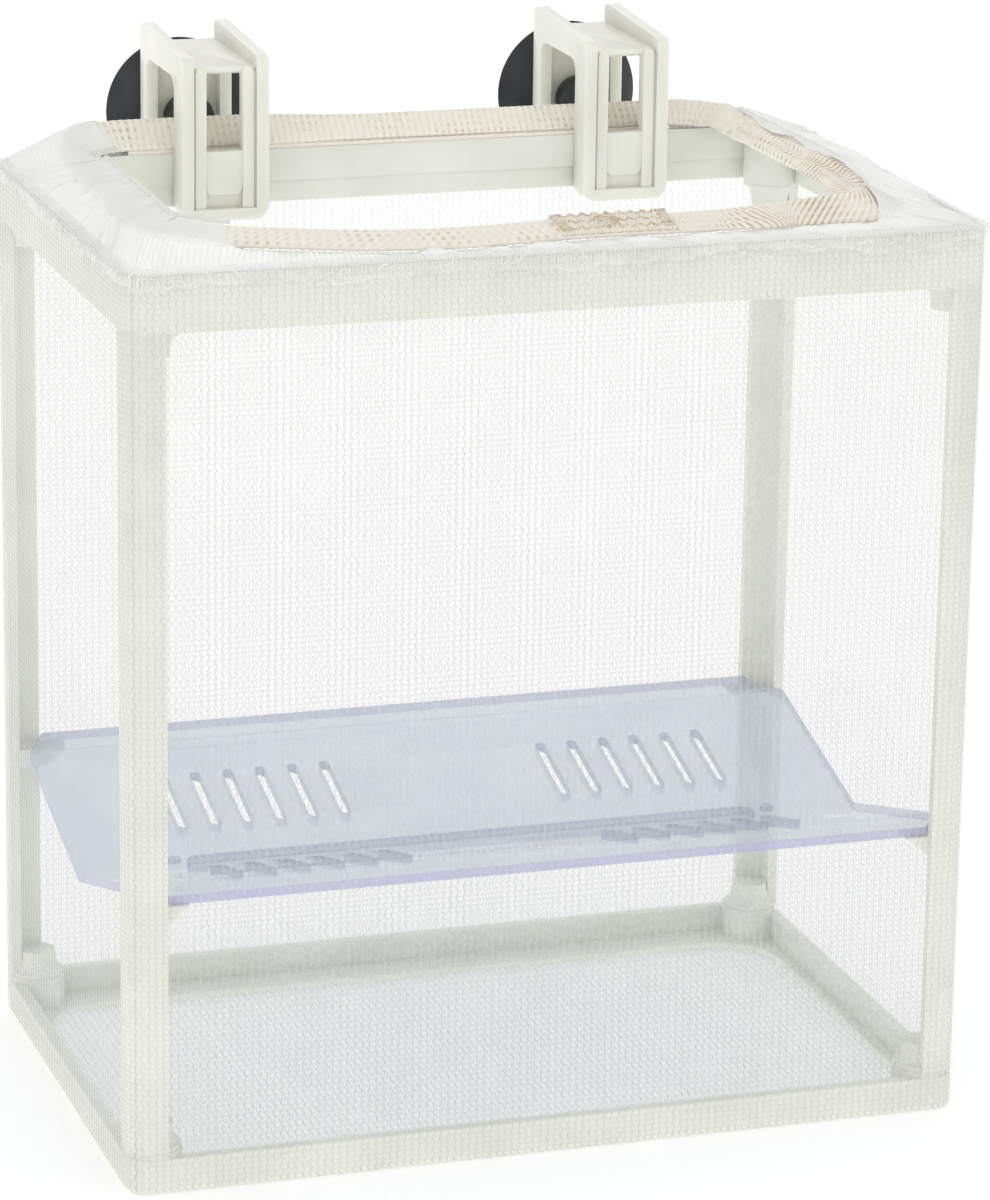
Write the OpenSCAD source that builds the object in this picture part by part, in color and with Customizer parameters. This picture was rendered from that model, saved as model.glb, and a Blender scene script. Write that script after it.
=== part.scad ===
// Fish breeding box: a plastic frame in a fitted net bag, a V-shaped divider inside,
// and two hangers with suction cups on the rear rail. Millimetres, +Z up.
// The origin is the centre of the net floor's underside, -Y is the front.

/* [Box] */
// Width over the net
box_w = 165; // [140:1:240]
// Depth over the net
box_d = 107; // [90:1:160]
// Height of the frame and net, without the hangers
box_h = 174; // [130:1:240]
// Outer radius of the upright edges
corner_r = 5.5; // [4:0.5:8]

/* [Rings] */
// Wall of both rings
ring_wall = 2.3; // [1.6:0.1:3]
// Height of the top ring
top_ring_h = 10.6; // [8:0.2:16]
// Height of the thinner lower band inside the top ring
top_step_h = 4.2; // [2:0.2:5]
// How far that band is set back
top_step = 0.6; // [0.2:0.1:0.8]
// Height of the bottom ring
bottom_ring_h = 6.4; // [5:0.2:10]
// Thickness of the floor flange
flange_t = 1.2; // [0.8:0.1:2]
// Width of the floor flange at the sides
flange_side = 4.8; // [3.5:0.1:8]
// Width of the floor flange at the front and rear
flange_end = 9.6; // [6:0.1:14]
// Corner radius of the floor opening
floor_r = 13; // [8:0.5:18]
// Diameter of the corner sockets
socket_d = 11; // [9:0.5:13]
// Height of the top sockets below the top ring's edge
socket_drop = 2.4; // [1:0.2:4]
// Height of a bottom socket above its ring
socket_rise = 1.1; // [0.5:0.1:3]

/* [Posts] */
// Length of each leg of the angle section
post_leg = 7.2; // [6:0.1:9]
// Wall of the angle section
post_wall = 2; // [1.4:0.1:2.6]
// Height of the flare at each end
flare_h = 5; // [3:0.5:8]
// Diameter of the pegs at the ends
peg_d = 5; // [3:0.1:6]
// Length of the pegs
peg_len = 5; // [3:0.5:5.5]
// Radial clearance of the pegs in their sockets
peg_gap = 0.05; // [0.02:0.01:0.1]
// Reach of the support lug past the leg
lug_reach = 4.5; // [3:0.1:6]
// Height of the support lug
lug_h = 3.6; // [2:0.1:6]

/* [Divider] */
// Thickness of the clear sheet
sheet_t = 1.8; // [1.2:0.1:2.4]
// Height of the flanges' underside above the table
divider_z = 55.5; // [40:0.5:80]
// Drop from the flanges to the fold
valley_drop = 11.3; // [6:0.1:16]
// Plan width of the front flange
front_flange = 7.4; // [6:0.1:12]
// Plan width of the rear flange
rear_flange = 11.4; // [8:0.1:14]
// Cut-back of the flanges' corners along the width
corner_cut = 5; // [4:0.1:8]
// Gap between the divider and the top ring that it passes through
divider_gap = 0.3; // [0.2:0.1:0.8]
// Width of a slot
slot_w = 2; // [1.2:0.1:3]
// Plan length of a slot
slot_len = 18; // [10:0.5:22]
// Spacing of the slots
slot_pitch = 6.6; // [5:0.1:8]
// Slots in a group
slot_count = 6; // [3:1:7]
// Middle of a slot group, from the divider's middle
slot_group_x = 39.1; // [30:0.1:48]
// Middle of a slot, from the fold
slot_mid = 20.5; // [17:0.5:24]
// Width of the drain slit along the fold
slit_w = 4.4; // [4.1:0.1:6]
// Length of the drain slit
slit_len = 116; // [60:1:120]
// Bend radius at the folds
bend_r = 2.5; // [2:0.1:4]

/* [Hangers] */
// Width of a hanger
hanger_w = 17.5; // [15:0.5:24]
// Height of the side plates' front above the box
hanger_rise = 19.2; // [16:0.2:30]
// Rise of the side plates' top edge towards the rear
plate_slope = 1.8; // [0:0.1:3]
// Drop from the side plates' front top to the bridge
bridge_drop = 2.2; // [1:0.1:3]
// Reach of the front arm below the top ring
hanger_drop = 1.8; // [1.6:0.1:4]
// Depth from the front face to the rear face
hanger_d = 32.9; // [28:0.1:44]
// Depth of the front arm
front_arm = 6.3; // [5:0.1:8]
// Depth of the rear arm
rear_arm = 4.6; // [4:0.1:7]
// Thickness of the side plates
side_t = 2.4; // [1.6:0.1:2.8]
// Height of the side plates' top band
top_band = 4.6; // [3:0.1:7]
// Thickness of the webs and of the bridge
web_t = 1.8; // [1.2:0.1:2.4]
// Recess of the front web
web_recess = 1.7; // [1:0.1:2.5]
// Width of the upright ribs beside the window
rib_w = 2.1; // [1.4:0.1:2.3]
// Recess of these ribs
rib_recess = 0.5; // [0.2:0.1:1]
// Recess of the strips that carry them
strip_recess = 1; // [0.8:0.1:1.5]
// Width of the window and of the pad below it
window_w = 7.4; // [5:0.1:9]
// Height of the window's foot above the box
window_rise = 0.5; // [0.2:0.1:4]
// Height of the pad
pad_h = 8.5; // [5:0.1:9]
// How far the pad stands out of the web
pad_t = 0.8; // [0.3:0.1:1.2]
// Height of the rib across the foot of the front arm
foot_rib = 2.3; // [1.5:0.1:3]
// Gap between a hanger and the rail
hanger_gap = 0.3; // [0.2:0.05:0.6]
// Radius of the side plates' outer top corners
top_round = 1.8; // [0.5:0.1:2.5]
// Middle of the left hanger from the box's left face
left_inset = 44.4; // [42:0.1:48]
// Middle of the right hanger from the box's right face
right_inset = 38.35; // [37:0.1:46]

/* [Suction cups] */
// Diameter of the rim
cup_d = 29.2; // [24:0.2:32]
// Depth from the rim to the back of the cup
cup_depth = 4.9; // [4:0.1:7]
// Diameter of the knob
knob_d = 9.8; // [8:0.1:11]
// Length of the knob
knob_len = 5.2; // [2.5:0.1:6]
// Diameter of the neck
neck_d = 5; // [3.5:0.1:6]
// Radial clearance of the neck in the web
neck_gap = 0.05; // [0.02:0.01:0.1]
// Height of the cup's axis above the top ring's foot
cup_rise = 13.2; // [12.8:0.1:14]

/* [Net] */
// Thickness of the net
net_t = 0.5; // [0.4:0.05:0.8]
// Width of a strand
strand = 1.2; // [0.8:0.1:2]
// Gaps across the front and the rear
front_cols = 16; // [8:1:16]
// Gaps up the walls
wall_rows = 18; // [8:1:18]
// Gaps across each side
side_cols = 10; // [5:1:12]
// Gaps across the floor, an even number
floor_cols = 18; // [8:2:20]
// Gaps along the floor's depth, an even number
floor_rows = 12; // [6:2:14]
// Width of the gaps in the cuff
cuff_gap_w = 8; // [4:0.5:9]
// Depth of the gaps in the cuff
cuff_gap_d = 3; // [2:0.1:3.5]
// Gap between the net and the plastic that it covers
net_gap = 0.1; // [0.05:0.05:0.2]

/* [Elastic] */
// Width of the elastic band
band_w = 8.5; // [6:0.1:9]
// Thickness of the band
band_t = 1.4; // [0.8:0.1:2]
// Width of the band along the rear rail, where it is stretched
band_rear_w = 6.2; // [5:0.1:8]
// Lean of the band along the rear rail, outer edge up, in degrees
band_lean = 45; // [20:1:60]
// Lean along the front, inner edge up, in degrees
front_lean = 12; // [0:1:25]
// Lean at the front right corner, inner edge up, in degrees
right_lean = 30; // [0:1:45]
// Length of the sewn overlap
overlap_len = 23; // [15:0.5:28]
// Thickness of the sewn overlap
overlap_t = 1; // [0.5:0.1:1.6]
// Margin from the left outer edge to the middle of the band
margin_left = 13; // [11:0.5:20]
// Margin from the right outer edge to the middle of the band, at the rear
margin_right = 18.5; // [14:0.5:22]
// The same margin at the front
margin_front_right = 15.5; // [13:0.5:22]
// Margin from the front outer edge to the middle of the band
margin_front = 7.8; // [7.6:0.1:12]
// Length of the mouth's cut front left corner along the side
corner_side = 23; // [18:0.5:26]
// Distance along the front to the middle of the cut corner
corner_mid = 8; // [6:0.5:12]
// Distance of the cut corner's middle behind the front line
corner_step = 12; // [8:0.5:14]
// Length of the cut corner along the front
corner_run = 37; // [32:0.5:42]
// Length of the straight stretch that follows, over the front edge
front_run = 18; // [12:0.5:24]
// Set-back of the front line behind that stretch
front_slope = 2.6; // [0.5:0.1:4]
// Middle of the sewn overlap from the box's middle
overlap_mid = 14; // [6:0.5:18]

/* [Hidden] */

$fn = 48;
ivory = "ivory";
net_white = "whitesmoke";
cream = "antiquewhite";
clear_blue = "lightsteelblue";
cup_black = "darkslategray";

// The frame stands inside the net
frame_w = box_w - 2 * (net_t + net_gap);
frame_d = box_d - 2 * (net_t + net_gap);
frame_r = corner_r - net_t - net_gap;
ring_foot = net_t;
ring_top = ring_foot + bottom_ring_h;
net_top = box_h - net_t;
top_edge = net_top - net_gap;
top_foot = top_edge - top_ring_h;
inner_w = frame_w - 2 * ring_wall;
inner_d = frame_d - 2 * ring_wall;

// Corner sockets and the posts between them
socket_x = frame_w / 2 - socket_d / 2;
socket_y = frame_d / 2 - socket_d / 2;
post_foot = ring_top + socket_rise;
post_top = top_foot;
flare_r = socket_d / 2 - 0.2;
flare_waist = post_leg / 2;
lug_root = 0.8 * post_wall;

// Divider
divider_w = inner_w - 2 * divider_gap;
divider_d = inner_d - 2 * divider_gap;
fold_y = (front_flange - rear_flange) / 2;
seat_gap = 0.05;
flange_mid_z = divider_z + seat_gap + sheet_t / 2;
fold_mid_z = flange_mid_z - valley_drop;
stud_d = 2.6;
stud_h = 0.8;
stud_off = 2.6;
cut_margin = 1;

// Hangers
rail_y = frame_d / 2 - ring_wall;
arm_back = rail_y - hanger_gap;
arm_front = arm_back - front_arm;
hanger_rear = arm_front + hanger_d;
left_x = -box_w / 2 + left_inset;
right_x = box_w / 2 - right_inset;
hanger_top = box_h + hanger_rise;
hanger_foot = top_foot - hanger_drop;
inside_w = hanger_w - 2 * side_t;
bridge_z = hanger_top - bridge_drop;
plate_angle = atan(plate_slope / (hanger_d - 2 * top_round));
window_lip = 1;
window_top = bridge_z - window_lip;
window_foot = box_h + window_rise;
toe_reach = ring_wall;
foot_r = 2.8;
bend_inside = 3;
pad_r = 1.5;
bite = 0.1;
strip_w = (inside_w - window_w) / 2 + bite;

// Suction cups
cup_z = top_foot + cup_rise;
cup_back = hanger_rear + hanger_gap;
cup_rim = cup_back + cup_depth;
cup_lip = 0.8;
cup_hollow = 3.4;
cup_taper = 1.5;
collar_gap = 0.3;

// Mouth of the bag: corners of the band's middle line as [x, y, radius]
mouth_left = -box_w / 2 + margin_left;
mouth_right = box_w / 2 - margin_right;
mouth_front = -box_d / 2 + margin_front;
band_reach = band_rear_w / 2 * cos(band_lean) + band_t / 2 * sin(band_lean);
mouth_rear = rail_y + hanger_gap + band_reach + net_gap;
mouth_front_right = box_w / 2 - margin_front_right;
twist_side = 24;
twist_right = [10, 36];
twist_front = 40;
mouth = [
    [mouth_left + 1.5, mouth_rear, 13],
    [mouth_left, mouth_front + corner_side, 12],
    [mouth_left + corner_mid, mouth_front + corner_step, 18],
    [mouth_left + corner_run, mouth_front, 60],
    [mouth_left + corner_run + front_run, mouth_front, 80],
    [mouth_left + corner_run + 2 * front_run, mouth_front + front_slope, 80],
    [mouth_front_right, mouth_front + front_slope, 9],
    [mouth_right, mouth_rear, 8]
];
band_z = box_h + band_t / 2 + net_gap;
left_twist = [mouth_rear - twist_side, mouth_rear - 3];
right_twist = [mouth_front + twist_right[0], mouth_front + twist_right[1]];
right_start = mouth_front_right - twist_front;
cuff_rear_edge = rail_y + hanger_gap;
overlap_gap = 0.15;
cuff_split = 8;
cuff_split_left = mouth_left + cuff_split;
cuff_split_right = mouth_right - cuff_split;
cuff_rib = 3;
cuff_edge = 1.2;
cuff_row_left = (margin_left - band_w / 2) * 0.55;
cuff_row_right = (margin_right - band_w / 2) * 0.5;

function unit(v) = v / norm(v);

// Points of the arc that rounds corner b, between its neighbours a and c
function round_corner(a, b, c, r, steps) =
    let (
        u = unit(a - b),
        v = unit(c - b),
        half = acos(max(-1, min(1, u * v))) / 2,
        reach = r / tan(half),
        mid = b + unit(u + v) * r / sin(half),
        start = b + u * reach - mid,
        finish = b + v * reach - mid,
        from = atan2(start[1], start[0]),
        swing = (atan2(finish[1], finish[0]) - from + 540) % 360 - 180
    )
    [for (i = [0:steps]) mid + r * [cos(from + swing * i / steps), sin(from + swing * i / steps)]];

// Closed outline with rounded corners, from a list of [x, y, radius]
function round_outline(pts, steps) =
    let (n = len(pts), flat = [for (p = pts) [p[0], p[1]]])
    [for (i = [0:n - 1])
        each round_corner(flat[(i + n - 1) % n], flat[i], flat[(i + 1) % n], pts[i][2], steps)];

// Even spacing of points round a closed outline, no step longer than the limit
function resample(pts, limit) =
    let (n = len(pts))
    [for (i = [0:n - 1])
        let (a = pts[i], b = pts[(i + 1) % n], k = max(1, ceil(norm(b - a) / limit)))
        for (j = [0:k - 1]) a + (b - a) * j / k];

mouth_line = resample(round_outline(mouth, 5), 12);

function ease(x) = let (t = max(0, min(1, x))) t * t * (3 - 2 * t);
function rear_share(x, y) =
    let (twist = x < 0 ? left_twist : right_twist) ease((y - twist[0]) / (twist[1] - twist[0]));
function lean_at(x, y) =
    let (forward = -front_lean - (right_lean - front_lean)
             * ease((x - right_start) / (mouth_front_right - right_start)))
    forward + (band_lean - forward) * rear_share(x, y);

// Cross-section of the band at point i of a line that runs anticlockwise
function band_section(line, i) =
    let (
        n = len(line),
        run = unit(line[(i + 1) % n] - line[(i + n - 1) % n]),
        lean = lean_at(line[i][0], line[i][1]),
        out = [run[1], -run[0]],
        across = [out[0] * cos(lean), out[1] * cos(lean), sin(lean)],
        up = [-out[0] * sin(lean), -out[1] * sin(lean), cos(lean)],
        half_w = (band_w + (band_rear_w - band_w) * rear_share(line[i][0], line[i][1])) / 2,
        mid = [line[i][0], line[i][1], band_z + half_w * abs(sin(lean))],
        side = across * half_w,
        lift = up * band_t / 2
    )
    [mid - side - lift, mid + side - lift, mid + side + lift, mid - side + lift];

module rounded_plate(w, d, r, t) {
    linear_extrude(t)
        union() {
            square([w - 2 * r, d], center = true);
            square([w, d - 2 * r], center = true);
            for (x = [-1, 1], y = [-1, 1])
                translate([x * (w / 2 - r), y * (d / 2 - r)]) circle(r);
        }
}

module at_corners() {
    for (x = [-1, 1], y = [-1, 1]) translate([x * socket_x, y * socket_y, 0]) children();
}

module top_ring() {
    color(ivory)
    translate([0, 0, top_foot])
    difference() {
        union() {
            difference() {
                rounded_plate(frame_w, frame_d, frame_r, top_ring_h);
                translate([0, 0, -1])
                    rounded_plate(inner_w, inner_d, frame_r - ring_wall, top_ring_h + 2);
                translate([0, 0, -1])
                    rounded_plate(inner_w + 2 * top_step, inner_d + 2 * top_step,
                        frame_r - ring_wall + top_step, top_step_h + 1);
            }
            at_corners() cylinder(d = socket_d, h = top_ring_h - socket_drop);
        }
        at_corners() translate([0, 0, -1]) cylinder(d = peg_d + 2 * peg_gap, h = peg_len + 1.5);
    }
}

module bottom_ring() {
    color(ivory)
    translate([0, 0, ring_foot])
    difference() {
        union() {
            difference() {
                rounded_plate(frame_w, frame_d, frame_r, bottom_ring_h);
                translate([0, 0, flange_t])
                    rounded_plate(inner_w, inner_d, frame_r - ring_wall, bottom_ring_h);
                translate([0, 0, -1])
                    rounded_plate(frame_w - 2 * flange_side, frame_d - 2 * flange_end,
                        floor_r, flange_t + 2);
            }
            at_corners() cylinder(d = socket_d, h = bottom_ring_h + socket_rise);
        }
        at_corners() translate([0, 0, bottom_ring_h + socket_rise - peg_len - 0.5])
            cylinder(d = peg_d + 2 * peg_gap, h = peg_len + 1);
    }
}

// Angle section with its outer corner at the origin, legs along +X and +Y
module post_section() {
    difference() {
        union() {
            translate([frame_r, 0]) square([post_leg - frame_r, post_wall]);
            translate([0, frame_r]) square([post_wall, post_leg - frame_r]);
            intersection() {
                translate([frame_r, frame_r]) circle(frame_r);
                square(frame_r);
            }
        }
        intersection() {
            translate([frame_r, frame_r]) circle(frame_r - post_wall);
            square(frame_r + 1);
        }
    }
}

// Concave flare that opens downwards onto a socket, with its peg
module post_end() {
    rotate_extrude()
        polygon(concat(
            [[0, 0], [flare_r, 0], [flare_r, 0.8]],
            [for (a = [0:15:90])
                [flare_waist + (flare_r - flare_waist) * (1 - sin(a)),
                 0.8 + (flare_h - 0.8) * (1 - cos(a))]],
            [[0, flare_h]]));
    translate([0, 0, -peg_len]) cylinder(d = peg_d, h = peg_len + 0.5);
}

// Shelf under the divider's corner, a gusset in the angle
module post_lug() {
    tip = post_leg + lug_reach;
    translate([0, post_leg, divider_z])
    rotate([90, 0, 0])
    linear_extrude(post_leg - lug_root)
        polygon([[lug_root, 0], [tip, 0], [post_leg, -lug_h], [lug_root, -lug_h]]);
}

// A post for the front left corner
module post() {
    color(ivory)
    translate([-frame_w / 2, -frame_d / 2, 0]) {
        translate([0, 0, post_foot]) linear_extrude(post_top - post_foot) post_section();
        post_lug();
        translate([socket_d / 2, socket_d / 2, post_foot]) post_end();
        translate([socket_d / 2, socket_d / 2, post_top]) mirror([0, 0, 1]) post_end();
    }
}

module post_front_left() { post(); }
module post_front_right() { mirror([1, 0, 0]) post(); }
module post_rear_left() { mirror([0, 1, 0]) post(); }
module post_rear_right() { rotate([0, 0, 180]) post(); }

// Flat net with square-cornered gaps, lying in XY
module net_plate(w, h, cols, rows) {
    pitch_x = (w - strand) / cols;
    pitch_y = (h - strand) / rows;
    difference() {
        square([w, h], center = true);
        for (i = [0:cols - 1], j = [0:rows - 1])
            translate([(i - (cols - 1) / 2) * pitch_x, (j - (rows - 1) / 2) * pitch_y])
                square([pitch_x - strand, pitch_y - strand], center = true);
    }
}

module wall_net(w, cols) {
    wall_h = net_top - net_t;
    color(net_white)
    translate([0, 0, net_t + wall_h / 2])
    rotate([90, 0, 0])
    linear_extrude(net_t) net_plate(w, wall_h, cols, wall_rows);
}

module net_front() {
    translate([0, -box_d / 2 + net_t, 0]) wall_net(box_w - 2 * corner_r, front_cols);
}
module net_rear() {
    translate([0, box_d / 2, 0]) wall_net(box_w - 2 * corner_r, front_cols);
}
module net_left() {
    translate([-box_w / 2, 0, 0]) rotate([0, 0, 90]) wall_net(box_d - 2 * corner_r, side_cols);
}
module net_right() {
    translate([box_w / 2 - net_t, 0, 0]) rotate([0, 0, 90])
        wall_net(box_d - 2 * corner_r, side_cols);
}

module net_floor() {
    color(net_white)
    intersection() {
        rounded_plate(box_w, box_d, corner_r, net_t);
        linear_extrude(net_t) net_plate(box_w, box_d, floor_cols, floor_rows);
    }
}

// Quarter of a tube round the front left upright edge
module net_corner() {
    color(net_white)
    translate([-box_w / 2 + corner_r, -box_d / 2 + corner_r, net_t])
    intersection() {
        difference() {
            cylinder(r = corner_r, h = net_top - net_t);
            translate([0, 0, -1]) cylinder(r = corner_r - net_t, h = box_h);
        }
        translate([-corner_r - 1, -corner_r - 1, 0]) cube([corner_r + 1, corner_r + 1, box_h]);
    }
}

module net_corner_front_left() { net_corner(); }
module net_corner_front_right() { mirror([1, 0, 0]) net_corner(); }
module net_corner_rear_left() { mirror([0, 1, 0]) net_corner(); }
module net_corner_rear_right() { rotate([0, 0, 180]) net_corner(); }

// Part of the cuff between two values of x and two of y, with a row of gaps
module cuff(x0, x1, y0, y1) {
    color(net_white)
    intersection() {
        difference() {
            translate([0, 0, net_top]) rounded_plate(box_w, box_d, corner_r, net_t);
            translate([0, 0, net_top - 1])
            linear_extrude(net_t + 2)
                intersection() {
                    polygon(mouth_line);
                    translate([-box_w / 2, -box_d / 2])
                        square([box_w, box_d / 2 + cuff_rear_edge]);
                }
            if ($children > 0)
                translate([0, 0, net_top - 1]) linear_extrude(net_t + 2) children();
        }
        translate([x0, y0, net_top - 1]) cube([x1 - x0, y1 - y0, net_t + 2]);
    }
}

module gap_row(from, to, y) {
    count = floor((to - from) / (cuff_gap_w + cuff_rib));
    pitch = (to - from) / count;
    for (i = [0:count - 1])
        translate([from + (i + 0.5) * pitch, y]) square([cuff_gap_w, cuff_gap_d], center = true);
}

module cuff_front() {
    cuff(cuff_split_left, cuff_split_right, -box_d, 0)
        gap_row(cuff_split_left, cuff_split_right, -box_d / 2 + cuff_gap_d / 2 + cuff_edge);
}
module cuff_rear() { cuff(cuff_split_left, cuff_split_right, 0, box_d); }
module cuff_left() {
    cuff(-box_w, cuff_split_left, -box_d, box_d)
        rotate([0, 0, 90])
            gap_row(-box_d / 2 + corner_r, box_d / 2 - corner_r, box_w / 2 - cuff_row_left);
}
module cuff_right() {
    cuff(cuff_split_right, box_w, -box_d, box_d)
        rotate([0, 0, 90])
            gap_row(-box_d / 2 + corner_r, box_d / 2 - corner_r, -box_w / 2 + cuff_row_right);
}

module elastic_band() {
    n = len(mouth_line);
    pts = [for (i = [0:n - 1]) each band_section(mouth_line, i)];
    faces = [for (i = [0:n - 1], k = [0:3])
        let (a = i * 4 + k, b = i * 4 + (k + 1) % 4,
             c = ((i + 1) % n) * 4 + (k + 1) % 4, d = ((i + 1) % n) * 4 + k)
        each [[a, b, c], [a, c, d]]];
    color(cream) polyhedron(pts, faces, 10);
}

// Doubled end of the band, sewn on top of it at the front
module elastic_joint() {
    front = mouth_front + front_slope;
    lean = lean_at(overlap_mid, front);
    color(cream)
    translate([overlap_mid, front, band_z + band_w / 2 * abs(sin(lean))])
    rotate([-lean, 0, 0])
    translate([0, 0, band_t / 2 + overlap_gap])
        rounded_plate(overlap_len, band_w - 1, 1.5, overlap_t);
}

// Middle line of the divider across the box, as [y, z]
divider_line = [
    [-divider_d / 2, flange_mid_z],
    [-divider_d / 2 + front_flange, flange_mid_z],
    [fold_y, fold_mid_z],
    [divider_d / 2 - rear_flange, flange_mid_z],
    [divider_d / 2, flange_mid_z]
];

// Side of the sheet at a distance from its middle line, with rounded folds
function sheet_side(off) =
    let (
        middle = [divider_line[0],
                  for (i = [1:3])
                      each round_corner(divider_line[i - 1], divider_line[i],
                          divider_line[i + 1], bend_r, 6),
                  divider_line[4]],
        n = len(middle)
    )
    [for (i = [0:n - 1])
        let (run = unit(middle[min(n - 1, i + 1)] - middle[max(0, i - 1)]))
        middle[i] + [-run[1], run[0]] * off];

function reversed(v) = [for (i = [len(v) - 1:-1:0]) v[i]];

module slot(len, w) {
    translate([0, 0, -1])
    linear_extrude(box_h)
        union() {
            square([w, len - w], center = true);
            for (s = [-1, 1]) translate([0, s * (len - w) / 2]) circle(d = w, $fn = 24);
        }
}

// Corner of a flange that clears the post, on the side given by sx and sy
module flange_cut(sx, sy, depth) {
    x = divider_w / 2;
    y = divider_d / 2;
    over = cut_margin;
    linear_extrude(box_h)
        polygon([[sx * (x - corner_cut - corner_cut * over / depth), sy * (y + over)],
                 [sx * (x + corner_cut * over / depth), sy * (y - depth - over)],
                 [sx * (x + 5), sy * (y - depth - over)],
                 [sx * (x + 5), sy * (y + over)]]);
}

module divider() {
    color(clear_blue, 0.6) {
        difference() {
            translate([-divider_w / 2, 0, 0])
            rotate([90, 0, 90])
            linear_extrude(divider_w)
                polygon(concat(sheet_side(-sheet_t / 2), reversed(sheet_side(sheet_t / 2))));
            for (s = [-1, 1], side = [-1, 1], i = [0:slot_count - 1])
                translate([s * slot_group_x + (i - (slot_count - 1) / 2) * slot_pitch,
                           fold_y + side * slot_mid, 0])
                    slot(slot_len, slot_w);
            translate([0, fold_y, 0]) rotate([0, 0, 90]) slot(slit_len, slit_w);
            for (s = [-1, 1]) {
                flange_cut(s, -1, front_flange);
                flange_cut(s, 1, rear_flange);
            }
        }
        for (s = [-1, 1])
            translate([s * (slit_len / 2 + stud_off), fold_y, fold_mid_z - sheet_t / 2 + 0.4])
                cylinder(d = stud_d, h = sheet_t + stud_h);
    }
}

// Side plate of a hanger, an inverted U in the plane of y and z
module side_profile() {
    inner_front = arm_back;
    inner_rear = hanger_rear - rear_arm;
    inner_top = hanger_top - top_band;
    r = bend_inside;
    front = [arm_front + top_round, hanger_top - top_round];
    rear = [hanger_rear - top_round, hanger_top - top_round + plate_slope];
    lift = top_round * [-sin(plate_angle), cos(plate_angle)];
    difference() {
        union() {
            polygon([[arm_front, hanger_foot], [hanger_rear, hanger_foot],
                     [hanger_rear, rear[1]], rear + lift, front + lift, [arm_front, front[1]]]);
            for (p = [front, rear]) translate(p) circle(top_round);
        }
        translate([inner_front, hanger_foot - 1])
            square([inner_rear - inner_front, inner_top - r - hanger_foot + 1]);
        translate([inner_front + r, inner_top - r - 1])
            square([inner_rear - inner_front - 2 * r, r + 1]);
        for (y = [inner_front + r, inner_rear - r]) translate([y, inner_top - r]) circle(r);
    }
}

// Front arm's outline seen from the front, with its lower corners rounded
module arm_outline() {
    w = hanger_w / 2;
    translate([-w, hanger_foot + foot_r]) square([hanger_w, hanger_top + plate_slope - hanger_foot]);
    translate([-w + foot_r, hanger_foot]) square([hanger_w - 2 * foot_r, foot_r + 1]);
    for (s = [-1, 1]) translate([s * (w - foot_r), hanger_foot + foot_r]) circle(foot_r);
}

// Bar between the side plates, from a front face and a foot
module across(y, z, d, h) {
    translate([-inside_w / 2 - bite, y, z]) cube([inside_w + 2 * bite, d, h]);
}

module hanger() {
    front_web = arm_front + web_recess;
    color(ivory)
    intersection() {
        difference() {
            union() {
                for (s = [-1, 1])
                    translate([s * (hanger_w - side_t) / 2 - side_t / 2, 0, 0])
                    rotate([90, 0, 90]) linear_extrude(side_t) side_profile();
                // front web with its foot rib
                across(front_web, hanger_foot, web_t, bridge_z - hanger_foot);
                across(arm_front, hanger_foot, web_recess + web_t, foot_rib);
                // strips beside the window, and their ribs with rounded heads
                for (s = [-1, 1]) {
                    translate([s * (window_w + strip_w) / 2 - strip_w / 2,
                               arm_front + strip_recess, hanger_foot])
                        cube([strip_w, web_t, window_top - hanger_foot]);
                    translate([s * (window_w + rib_w) / 2, front_web + bite, 0])
                    rotate([90, 0, 0])
                    linear_extrude(web_recess - rib_recess + bite)
                        union() {
                            translate([-rib_w / 2, hanger_foot])
                                square([rib_w, window_top - hanger_foot]);
                            translate([0, window_top]) circle(d = rib_w);
                        }
                }
                // pad below the window, with rounded lower corners
                translate([0, front_web + bite, window_foot - pad_h])
                rotate([90, 0, 0])
                linear_extrude(pad_t + bite)
                    union() {
                        translate([-window_w / 2, pad_r])
                            square([window_w, pad_h - pad_r]);
                        translate([-window_w / 2 + pad_r, 0])
                            square([window_w - 2 * pad_r, pad_h]);
                        for (s = [-1, 1])
                            translate([s * (window_w / 2 - pad_r), pad_r]) circle(pad_r);
                    }
                // bridge and rear web
                across(front_web, bridge_z - web_t, hanger_rear - front_web, web_t);
                across(hanger_rear - web_t, hanger_foot, web_t, bridge_z - hanger_foot);
                // toe that catches under the rail
                across(front_web, hanger_foot, arm_back + toe_reach - front_web,
                    hanger_drop - hanger_gap);
            }
            // window
            translate([-window_w / 2, arm_front - 1, window_foot])
                cube([window_w, web_recess + web_t + 2, window_top - window_foot]);
            // hole for the cup's neck
            translate([0, hanger_rear + 1, cup_z])
            rotate([90, 0, 0]) cylinder(d = neck_d + 2 * neck_gap, h = web_t + 2);
        }
        translate([0, hanger_rear + 10, 0])
            rotate([90, 0, 0]) linear_extrude(hanger_d + 20) arm_outline();
    }
}

module hanger_left() { translate([left_x, 0, 0]) hanger(); }
module hanger_right() { translate([right_x, 0, 0]) hanger(); }

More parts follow.
